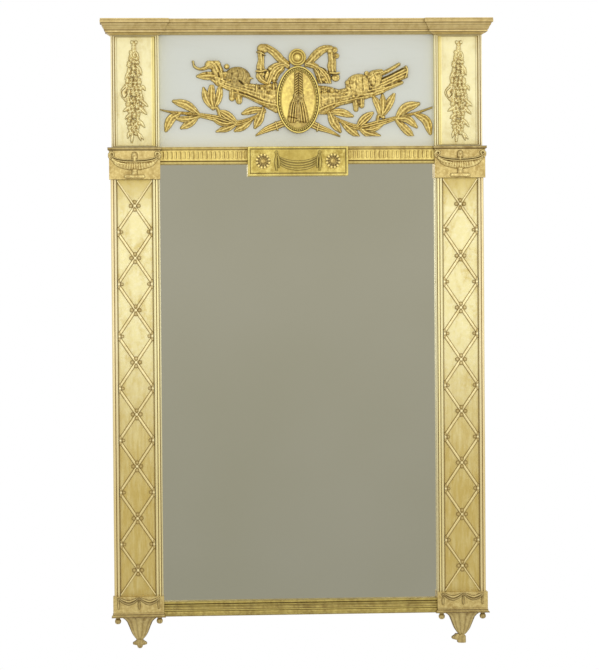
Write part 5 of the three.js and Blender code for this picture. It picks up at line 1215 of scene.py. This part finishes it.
# The rail's outline drawn along x, less a round-ended hollow for each flute.
def makeFlutedRails():
    outline, recess, edge = moulded(flutedRail["outline"], step=0.5, ease=0.3, depth=0.5)
    forward, drop = outline.T
    recess = withPaintedLines(recess, drop, flutedRail["paintedShade"])
    inner, outer, half = (flutedRail[key] for key in ("inner", "outer", "fluteHalf"))
    x = np.linspace(inner, outer, int((outer - inner) / flutedRail["cell"]))
    pitch = (outer - inner) / flutedRail["fluteCount"]
    fromAxis = ((x - inner) % pitch - pitch / 2)[:, None]
    past = np.maximum(flutedRail["fluteTop"] + half - drop, drop - flutedRail["fluteFoot"] + half).clip(0)
    r2 = (fromAxis ** 2 + past ** 2) / half ** 2
    plane = cabinet["frontPlane"]
    y = -(plane + forward - flutedRail["cut"] * np.sqrt(np.clip(1 - r2, 0, 1)))
    highest = np.where(x > flutedRail["capStart"], flutedRail["underCap"], flutedRail["top"])
    front = np.stack([np.broadcast_to(x[:, None], y.shape), y, up(np.maximum(drop, highest[:, None]))], -1)
    closing = np.stack([np.stack([x, np.full(len(x), -plane), up(ends)], -1)
                        for ends in (np.full(len(x), flutedRail["foot"]), highest)], 1)
    shade, bright = flutedRail["shade"], flutedRail["bright"]
    # Painted shade in one side of each flute, a painted highlight beside it.
    inShade = np.where((r2 < 1) & (fromAxis < shade["from"] * half), shade["side"], shade["floor"] * (r2 < 1))
    paintedHighlight = bright["share"] * (fromAxis > bright["from"] * half) * (recess < bright["darkest"])
    tones = (np.pad(np.clip(tone, 0, 1), ((0, 0), (0, 2))).ravel()
             for tone in (inShade + recess, edge + paintedHighlight))
    addPair("fluted_rail", (closedSkin(np.concatenate([front, closing], 1)), *tones), "rail")


makeCornice()
makeFriezePilasters()
makeTablet()
makePilasters()
makeBlocks()
makeBaseMoulding()
makeFlutedRails()
report("mouldings are cut")


# Even angles round a circle, the same at every level.
def roundAngles(levelCount, count):
    return np.broadcast_to(np.linspace(0, 2 * pi, count, endpoint=False), (levelCount, count))


# Rings of a surface round an axis that points forward; the reaches and forward are arrays [level, angle].
def roundSurface(xReach, zReach, forward, angles, middle, ground):
    x = middle[0] + xReach * np.cos(angles)
    z = middle[1] + zReach * np.sin(angles)
    return closedSkin(np.stack([x, ground - np.broadcast_to(forward, x.shape), z], -1))


medallion = {
    "middle": (3.0, 193.0), "halfWidth": 53.0, "halfHeight": 80.8, "field": 7.0,
    "rim": [[0, 3], [0.8, 5.8], [2.2, 7], [3.6, 6.4], [4.4, 4.0], [5.2, 3.6], [9.6, 3.6], [10.2, 4.2],
            [11.2, 4.8], [12.0, 1.0], [12.6, 0.0]],
    "fieldInsets": [13.2, 14, 16, 20, 25, 30, 36, 42, 47, 50, 52, 52.8], "fieldFrom": 12.8,
    # Painted shade lines in the rim's quirks, and painted highlight lines on its rounds.
    "paintedShade": [[0, 0.8, 0.5], [4.9, 0.7, 0.7], [9.9, 0.4, 0.4], [12.4, 0.6, 0.7]],
    "paintedHighlight": [[2.4, 1.2, 1.0], [7.4, 6.0, 0.3], [11.0, 0.9, 1.0]],
    "edgeShare": 0.5,
    # Painted highlights on the beads and painted shade between them.
    "beads": {"count": 60, "inset": 7.4, "half": 2.3, "rise": 3.0, "groove": 2.5, "shade": 0.7,
              "brightTo": 0.5, "darkFrom": 0.9},    # of the squared distance from a bead's middle
    "shadeUnderTassels": {"from": 42, "run": 8, "share": 0.2},      # painted shade on the field under the tassels
    "glow": {"middle": 0.2, "across": 90, "down": 160},    # and painted light, brighter to the left and down
    "angleCount": 720,
}


# An oval by its two half widths, less the inset at each level. Each bead of the rim is half an ellipsoid.
def makeMedallion():
    field, beads, tasselShade, glow = (medallion[key] for key in ("field", "beads", "shadeUnderTassels", "glow"))
    rim = np.vstack([[[0, 0.3]], np.array(medallion["rim"]) + [0, field]])
    profile, recess, edge = moulded(rim, step=0.35, ease=0.22, depth=0.5)
    insets = np.array(medallion["fieldInsets"])
    inset, forward = np.vstack([profile, np.column_stack([insets, np.full(len(insets), field)])]).T
    recess, edge = (np.append(tone, np.zeros(len(insets))) for tone in (recess, edge))
    angles = roundAngles(len(inset), medallion["angleCount"])
    phase = np.abs((angles * beads["count"] / (2 * pi)) % 1.0 - 0.5) * 2.0
    fromBeads = inset[:, None] - beads["inset"]
    r2 = (fromBeads / beads["half"]) ** 2 + phase ** 2
    wide, high = ((medallion[key] - inset)[:, None] for key in ("halfWidth", "halfHeight"))
    beaded = forward[:, None] + beads["rise"] * np.sqrt(np.clip(1 - r2, 0, 1))
    surface = roundSurface(wide, high, beaded, angles,
                           (medallion["middle"][0], up(medallion["middle"][1])), -cabinet["frontPlane"])
    onField = (inset > medallion["fieldFrom"])[:, None]
    # Painted light on the field, brighter to the left and downwards, and painted shade on it under the
    # tassels.
    across, below = wide * np.cos(angles), -high * np.sin(angles)
    foot = np.clip((below - tasselShade["from"]) / tasselShade["run"], 0, 1) * onField
    bright = glow["middle"] - across / glow["across"] + below / glow["down"]
    bright = np.clip(bright, 0, 1) * onField * (1 - foot)
    between = (np.abs(fromBeads) < beads["groove"]) & (r2 > beads["darkFrom"])
    paintedShade = withPaintedLines(recess, inset, medallion["paintedShade"])[:, None] * ~onField
    paintedHighlight = withPaintedLines(edge * medallion["edgeShare"], inset, medallion["paintedHighlight"])[:, None] * ~onField
    deep = np.clip(paintedShade + beads["shade"] * between + tasselShade["share"] * foot, 0, 1)
    pale = np.clip(paintedHighlight + np.where(r2 < beads["brightTo"], 1.0, 0) + bright, 0, 1)
    addPiece("medallion", (surface, deep.ravel(), pale.ravel()), "medallion")


patera = {
    "middle": (1.5, 91.5), "angleCount": 96,
    "profile": [[21, 0.3], [21, 9.6], [20.2, 12], [18.6, 13.2], [17, 12.4], [16, 10.6], [15, 10.8],
                [13.8, 12.6], [12.4, 13.2], [11.2, 12.2], [10.2, 10.6], [9, 11.2], [7, 14], [4.4, 15.6],
                [0.6, 15.9]],
}


# A turned profile: its points are rings round the axis.
def makePatera():
    profile, *tones = moulded(patera["profile"], step=0.35, ease=0.3, depth=1.2)
    radius, forward = (values[:, None] for values in profile.T)
    surface = roundSurface(radius, radius, forward, roundAngles(len(profile), patera["angleCount"]),
                           (patera["middle"][0], up(patera["middle"][1])), -cabinet["frontPlane"])
    addPiece("patera", (surface, *(np.repeat(tone, patera["angleCount"]) for tone in tones)), "medallion")


rosette = {
    "radius": 18.9, "petals": 12, "axis": 84.0, "relief": 5.7,
    "levels": [[1, 0.05], [1, 0.3], [0.97, 0.55], [0.9, 0.7], [0.8, 0.74], [0.7, 0.68], [0.58, 0.56],
               [0.46, 0.46], [0.38, 0.42], [0.34, 0.5], [0.31, 0.8], [0.25, 0.96], [0.12, 1], [0.02, 1]],
    "levelCount": 52, "angleCount": 144,
    "boss": 0.33, "petalsFrom": 0.36, "notch": 0.16, "hollow": 0.5,    # shares of the radius and the relief
    "sinePower": 0.6, "petalsRun": 0.2,
    # Painted shade between the petals and towards the boss, and a painted highlight on the outer petals.
    "dark": {"between": 0.9, "within": 0.74, "run": 0.2, "most": 0.32, "boss": 0.1},
    "bright": {"from": 0.7, "between": 0.45},
}


# Petals round a boss: reach and height both sink between the petals, by one less a power of a sine's size.
def makeTabletRosettes():
    levels = along(rosette["levels"], np.linspace(0, 1, rosette["levelCount"]))
    share, rise = (values[:, None] for values in levels.T)
    angles = roundAngles(rosette["levelCount"], rosette["angleCount"])
    between = 1 - np.abs(np.sin(rosette["petals"] * angles / 2)) ** rosette["sinePower"]
    outer = np.clip((share - rosette["petalsFrom"]) / rosette["petalsRun"], 0, 1)
    spread = rosette["radius"] * share * (1 - rosette["notch"] * between * outer)
    forward = rosette["relief"] * rise * (1 - rosette["hollow"] * between * outer)
    low, high = boxOf("right_tablet_rosette")
    onPetals = share > rosette["boss"]
    dark, bright = rosette["dark"], rosette["bright"]
    inside = np.clip((dark["within"] - share) / dark["run"], 0, dark["most"])
    inside = np.where(onPetals, inside, dark["boss"])
    deep = np.clip(between * outer * dark["between"] + inside, 0, 1)
    pale = np.where((share > bright["from"]) & (between < bright["between"]), 1.0, 0)
    for side, sign in sides.items():
        surface = roundSurface(spread, spread, forward, angles,
                               (sign * rosette["axis"], (low[2] + high[2]) / 2), high[1])
        addPiece(side + "_tablet_rosette", (surface, deep.ravel(), pale.ravel()), "carved")


makeMedallion()
makePatera()
makeTabletRosettes()
report("round pieces are turned")


trellis = {
    "repeats": 8, "fieldHalf": 41.9, "axis": 391.75,
    "strapHalf": 4.3, "strap": [[-1, 0.02], [-1, 0.9], [-0.72, 0.9], [-0.56, 2.6], [-0.2, 3.0], [0.2, 3.0],
                                [0.56, 2.6], [0.72, 0.9], [1, 0.9], [1, 0.02]],
    "petalHalf": 4.7, "petalAt": 9.2, "bossHalf": 4.2, "relief": 5.6,
    "knotPetalHalf": 3.9, "knotPetalAt": 7.2, "knotInset": 2.6,
    "strapShort": 0.6,                # a strap ends this far from the line between two repeats
    "petalShare": 0.8, "knotShare": 0.8,
    # Painted shade along each strap's sides and a painted highlight along its middle.
    "strapDark": {"rate": 4, "less": 2.2, "most": 0.75}, "strapBright": 0.6,
}
trellisPad = {
    "levels": [[1, 0], [1, 0.72], [0.84, 0.75], [0.68, 0.9], [0.36, 1], [0.03, 1]], "angleCount": 32,
    # Tones for each level of a pad: painted shade on its rim and sides, a painted highlight on its top.
    "petal": ([1, 1, 1, 0.6, 0.3, 0.25], [0, 0, 0, 0, 0.3, 0.3]),
    "boss": ([1, 1, 0.8, 0, 0, 0], [0, 0, 0, 1, 1, 1]),
}


# A strap from side to side of the field: its section is sheared, so that its ends are upright.
def strapPart(half, middle, rise, ground):
    section = np.array(trellis["strap"]) * [trellis["strapHalf"], 1]
    section = moulded(section, step=0.45, ease=0.2, depth=0.5)[0]
    dark = trellis["strapDark"]
    recess = np.abs(section[:, 0]) / trellis["strapHalf"] * dark["rate"] - dark["less"]
    recess = np.clip(recess, 0, dark["most"])
    edge = np.clip(1 - recess * 2, 0, 1) * trellis["strapBright"]
    slope = np.hypot(half, rise) / half
    rings = [np.stack([np.full(len(section), sign * half), ground - section[:, 1],
                       middle + sign * rise + section[:, 0] * slope], -1) for sign in (-1, 1)]
    return closedSkin(rings), np.tile(recess, 2), np.tile(edge, 2)


# A rounded square pad with a dark rim: its reach follows a superellipse of the third power.
def padPart(x, z, half, relief, ground, tones):
    share, rise = (values[:, None] for values in np.array(trellisPad["levels"]).T)
    angles = roundAngles(len(share), trellisPad["angleCount"])
    squared = (np.abs(np.cos(angles)) ** 3 + np.abs(np.sin(angles)) ** 3) ** (-1 / 3)
    spread = half * share * squared
    surface = roundSurface(spread, spread, relief * rise, angles, (x, z), ground)
    return surface, *(np.repeat(tone, trellisPad["angleCount"]) for tone in tones)


# Four pads about a boss; at the edge of the field the one that would lie under the moulding is left out.
def flowerParts(x, z, half, petalAt, relief, ground, towards=0):
    parts = [padPart(x + dx, z + dz, half, relief * trellis["petalShare"], ground, trellisPad["petal"])
             for dx, dz in ((petalAt, 0), (-petalAt, 0), (0, petalAt), (0, -petalAt)) if dx * towards >= 0]
    bossHalf = trellis["bossHalf"] * half / trellis["petalHalf"]
    return [*parts, padPart(x, z, bossHalf, relief, ground, trellisPad["boss"])]


# Two straps cross in each repeat, with a flower on the crossing and a smaller one on each side between.
def makeTrellis():
    low, high = boxOf("right_trellis")
    ground, half = high[1] - 0.01, trellis["fieldHalf"]
    pitch = (pilaster["foot"] - pilaster["top"]) / trellis["repeats"]
    rise = pitch / 2 - trellis["strapShort"]
    parts = []
    for repeat in range(trellis["repeats"]):
        middle = up(pilaster["top"] + (repeat + 0.5) * pitch)
        parts += [strapPart(half, middle, rise, ground), strapPart(half, middle, -rise, ground)]
        parts += flowerParts(0, middle, trellis["petalHalf"], trellis["petalAt"], trellis["relief"], ground)
        if repeat:
            parts += [part for sign in (-1, 1) for part in flowerParts(
                sign * (half - trellis["knotInset"]), middle + pitch / 2, trellis["knotPetalHalf"],
                trellis["knotPetalAt"], trellis["relief"] * trellis["knotShare"], ground, -sign)]
    for side, sign in sides.items():
        addPiece(side + "_trellis", shifted(merged(parts), x=sign * trellis["axis"]), "trellis")


makeTrellis()
report("trellis is laid")


pendant = {
    "top": 1434.3, "length": 55.0, "halfWidth": 43.0, "depth": 31.4, "back": -4.0,
    "lobes": 6, "lobeDepth": 0.035, "cosinePower": 0.7,
    "backStep": 0.3,                  # the backs of body, lobe and wings are never in one plane
    "shape": [[0, 1, 1], [0.05, 0.94, 1], [0.1, 0.84, 0.98], [0.2, 0.72, 0.94], [0.4, 0.61, 0.86],
              [0.55, 0.54, 0.8], [0.7, 0.46, 0.74], [0.8, 0.39, 0.68], [0.93, 0.27, 0.6], [1, 0.19, 0.55]],
    "knopWings": [[0, 0.36, 0.5], [0.2, 0.62, 0.5], [0.38, 0.98, 0.5], [0.5, 1, 0.5], [0.6, 0.92, 0.5],
                  [0.68, 0.44, 0.5], [0.72, 0.2, 0.5]],
    "knopLobe": [[0, 0.40, 0.6], [0.3, 0.42, 0.62], [0.6, 0.42, 0.6], [0.8, 0.38, 0.56], [0.93, 0.3, 0.5],
                 [1, 0.16, 0.45]],
    "knopHalf": 17.3, "knopLength": 21.6, "towardsRight": {"left": 2.2, "right": 1.2},
    "askew": {"tilt": 3.0, "raise": 0.5, "wings": (-10.0, 0.84),    # the right knop has slipped
              "lobe": [[0, 0.3, 0.6], [0.2, 0.54, 0.62], [0.9, 0.6, 0.6], [0.97, 0.57, 0.56], [1, 0.5, 0.5]]},
    "stilt": 0.7,                     # the sides run straight out from the wall for this share of the depth
    "sides": {"rate": 6, "less": 5.2, "share": 0.8},       # the shade along the wall
    # Painted shade between the lobes, a little darker all over, and a painted highlight on each lobe's swell.
    "dark": {"between": 0.4, "allOver": 0.12}, "brightFrom": 0.8,
}


# Half-round rings that hang down: acanthus lobes swell and shrink round the half turn by a cosine's size.
def pendantPart(levels, length, halfWidth, lobes, lobeDepth, count=73, levelCount=40):
    levels = np.array(levels)
    share = np.linspace(0, 1, levelCount) * levels[-1, 0]
    wide, deep = (np.interp(share, levels[:, 0], levels[:, k])[:, None] for k in (1, 2))
    angle = np.linspace(0, pi, count)[None, :]
    swollen = np.abs(np.cos(lobes * angle)) ** pendant["cosinePower"]
    swell = 1 - lobeDepth * (1 - swollen)
    stilt = np.where((angle > 0) & (angle < pi), pendant["stilt"], 0)
    x = halfWidth * wide * swell * np.cos(angle)
    y = -pendant["depth"] * deep * swell * (stilt + (1 - stilt) * np.sin(angle))
    z = np.broadcast_to(-length * share[:, None], x.shape)
    atSides, dark = pendant["sides"], pendant["dark"]
    sideShade = np.clip(atSides["rate"] * np.abs(np.cos(angle)) - atSides["less"], 0, 1) * atSides["share"]
    recess = np.clip((1 - swollen) ** 2 * dark["between"] + sideShade + dark["allOver"], 0, 1)
    edge = np.clip((swollen - pendant["brightFrom"]) * 2, 0, 1) * (1 - sideShade)
    tones = (np.broadcast_to(tone, x.shape).ravel() for tone in (recess, edge))
    return closedSkin(np.stack([x, y, z], -1)), *tones


# A part turned about the y axis.
def turned(part, degrees):
    (points, quads, caps), *tones = part
    c, s = cos(radians(degrees)), sin(radians(degrees))
    x, y, z = points.T
    return (np.stack([c * x + s * z, y, c * z - s * x], -1), quads, caps), *tones


# The body, and a knop of two side wings and a lobe at its foot. The right knop sits askew.
def makePendants():
    half, long, step = pendant["knopHalf"], pendant["knopLength"], pendant["backStep"]
    body = pendantPart(pendant["shape"], pendant["length"], pendant["halfWidth"], pendant["lobes"],
                       pendant["lobeDepth"])
    straight = {"tilt": 0.0, "raise": 0.0, "wings": (0.0, 1.0), "lobe": pendant["knopLobe"]}
    for side, sign in sides.items():
        knop = pendant["askew"] if side == "right" else straight
        over, share = knop["wings"]
        wings = pendantPart(pendant["knopWings"], long, half * share, lobes=2, lobeDepth=0.06, count=49,
                            levelCount=24)
        lobe = pendantPart(knop["lobe"], long, half, lobes=1, lobeDepth=0.0, count=33, levelCount=24)
        hung = turned(merged([shifted(wings, x=over, y=-step), lobe]), knop["tilt"])
        hung = shifted(hung, y=-step, z=-pendant["length"] + knop["raise"])
        addPiece(side + "_pendant", shifted(
            merged([body, hung]), x=sign * blockAxis + pendant["towardsRight"][side], y=pendant["back"],
            z=up(pendant["top"])), "plain")


ballDrop = {
    "radius": 7.9, "length": 16.4, "gadroons": 10, "gadroonDepth": 0.08, "levelCount": 26, "angleCount": 60,
    "profile": [[0.72, 0], [0.8, 0.1], [0.62, 0.18], [0.78, 0.28], [0.97, 0.45], [1, 0.58], [0.93, 0.74],
                [0.74, 0.88], [0.42, 0.97], [0.04, 1]],
    "belly": {"from": 0.3, "run": 0.25},
    # Painted shade in the gadroons and at the neck, and a painted highlight on the gadroons' crests.
    "dark": {"gadroons": 0.9, "neck": 0.22, "neckHalf": 0.08},
    "brightLess": 0.4,
}


# A turned profile whose belly is cut by a cosine's gadroons; each drop hangs in the middle of its box.
def makeDrops():
    t = np.linspace(0, 1, ballDrop["levelCount"])
    profile = along(ballDrop["profile"], t)
    angles = roundAngles(len(t), ballDrop["angleCount"])
    cutIn = wave(ballDrop["gadroons"] * angles)
    bellied, dark = ballDrop["belly"], ballDrop["dark"]
    belly = np.clip((t - bellied["from"]) / bellied["run"], 0, 1)[:, None]
    radius = ballDrop["radius"] * profile[:, :1] * (1 - ballDrop["gadroonDepth"] * cutIn * belly)
    neck = (np.abs(t - dark["neck"]) < dark["neckHalf"])[:, None]
    deep = np.clip(cutIn ** 2 * belly * dark["gadroons"] + neck, 0, 1)
    pale = np.clip((1 - cutIn) * belly - ballDrop["brightLess"], 0, 1)
    z = np.broadcast_to(-ballDrop["length"] * profile[:, 1:], radius.shape)
    surface = closedSkin(np.stack([radius * np.cos(angles), radius * np.sin(angles), z], -1))
    for name in (f"{side}_{which}_drop" for side in sides for which in ("outer", "inner")):
        low, high = boxOf(name)
        x, y, z = (low + high) / 2
        addPiece(name, shifted((surface, deep.ravel(), pale.ravel()), x, y, high[2]), "plain")


makePendants()
makeDrops()
report("pendants hang")


# Each carving: its marks, and how it differs from a plain one on the middle line.
fineCell = carving["fineCell"]
reliefs = {
    "left_ribbon": (leftRibbon, {"chipDepth": 0.6}),
    "right_ribbon": (rightRibbon, {"chipDepth": 0.6, "lower": 2.0}),
    "torch": (torch, {"chipDepth": 0.8, "lower": -1.2}),
    "quiver": (quiver, {"chipDepth": 0.8, "lower": 3.5}),
    "torch_foot": (torchFoot, {}),
    "quiver_foot": (quiverFoot, {}),
    "left_laurel": (leftLaurel, {"chipDepth": 0.4, "lower": -1.5}),
    "right_laurel": (rightLaurel, {"chipDepth": 0.4, "lower": 2.5}),
    "tassel": (tassel, {"axis": medallion["middle"][0], "cell": fineCell}),
    "tablet_drapery": (tabletDrapery, {"finish": "tablet", "cell": fineCell}),
    "left_garland": (garland, {"finish": "garland", "axis": -389.5, "chipDepth": 0.3}),
    "right_garland": (garland, {"finish": "garland", "axis": 391.3, "chipDepth": 0.3, "lower": 2.0}),
    "left_urn": (urn, {"finish": "urn", "axis": -blockAxis, "cell": fineCell}),
    "right_urn": (urn, {"finish": "urn", "axis": blockAxis, "cell": fineCell}),
    "left_plinth_swag": (plinthSwag, {"finish": "plain", "axis": -blockAxis, "cell": fineCell}),
    "right_plinth_swag": (plinthSwag, {"finish": "plain", "axis": blockAxis, "cell": fineCell}),
}
for reliefName, (marks, choices) in reliefs.items():
    addRelief(reliefName, marks, **choices)
report("carvings are planted")


# The pieces that show as they are in the CAD model, by their finish.
asModelled = {
    "paint": ["frieze_panel"], "silvering": ["mirror_glass"],
    "bareWood": ["left_stile", "right_stile", "top_rail", "middle_rail", "bottom_rail", "backboard"],
    "steel": [f"{side}_{name}" for side in sides
              for name in ("hanger_strap", "hanger_ring", "upper_screw", "lower_screw")],
}
for finishName, names in asModelled.items():
    for nodeName in names:
        for materialSlot in nodes[nodeName].material_slots:
            materialSlot.material = finishes[finishName]


light = {
    "roomStrength": 0.80,
    "lamps": {
        "soft_left": {"place": (-1.05, -5.2, 1.0), "size": (1.4, 2.4), "power": 33.0},
        "soft_right": {"place": (1.80, -5.2, 1.0), "size": (1.4, 2.4), "power": 38.0},
    },
    "target": (0.0, 0.0, 0.15),
}


# An even room that shows white to the camera and in reflections, and two large lamps towards the target.
def makeLight():
    world = bpy.data.worlds.new("plain_room")
    bpy.context.scene.world = world
    world.use_nodes = True
    links, made = world.node_tree.links, world.node_tree.nodes
    path = made.new("ShaderNodeLightPath")
    seen = path.outputs["Is Camera Ray"]
    for kind in ("Is Glossy Ray", "Is Transmission Ray"):
        larger = made.new("ShaderNodeMath")
        larger.operation = "MAXIMUM"
        links.new(seen, larger.inputs[0])
        links.new(path.outputs[kind], larger.inputs[1])
        seen = larger.outputs["Value"]
    level = made.new("ShaderNodeMapRange")
    level.inputs["To Min"].default_value = light["roomStrength"]
    links.new(seen, level.inputs["Value"])
    background = made["Background"]
    background.inputs["Color"].default_value = (1.0, 1.0, 1.0, 1.0)
    links.new(level.outputs["Result"], background.inputs["Strength"])
    for name, lamp in light["lamps"].items():
        data = bpy.data.lights.new(name, "AREA")
        data.shape = "RECTANGLE"
        data.size, data.size_y = lamp["size"]
        data.energy = lamp["power"]
        body = bpy.data.objects.new(name, data)
        body.location = lamp["place"]
        facing = Vector(light["target"]) - Vector(lamp["place"])
        body.rotation_euler = facing.to_track_quat("-Z", "Y").to_euler()
        bpy.context.scene.collection.objects.link(body)


card = {
    "colour": (197, 194, 178), "foot": (184, 182, 168), "topHeight": 0.2, "footHeight": -1.4,
    "place": (0.5, -7.3, 0.0), "size": (3.4, 4.4),
}


# The grey card behind the camera, which the mirror plate shows.
def makeCard():
    halfWide, halfHigh = card["size"][0] / 2, card["size"][1] / 2
    x, y, z = card["place"]
    mesh = bpy.data.meshes.new("grey_card")
    corners = [(x + sx * halfWide, y, z + sz * halfHigh) for sx, sz in ((1, -1), (-1, -1), (-1, 1), (1, 1))]
    mesh.from_pydata(corners, [], [(0, 1, 2, 3)])
    tree = Tree("grey_card")
    # Painted shade: the card darkens towards its foot.
    colour = tree.mix(tree.band(tree.axis("Z"), card["topHeight"], card["footHeight"]),
                      linear(card["colour"]), linear(card["foot"]))
    mesh.materials.append(tree.finish(colour=colour, rough=0.9, shine=0.1))
    body = bpy.data.objects.new("grey_card", mesh)
    bpy.context.scene.collection.objects.link(body)
    body.visible_camera = False


makeLight()
makeCard()
bpy.context.scene.view_settings.view_transform = "Standard"
report("lights are set")
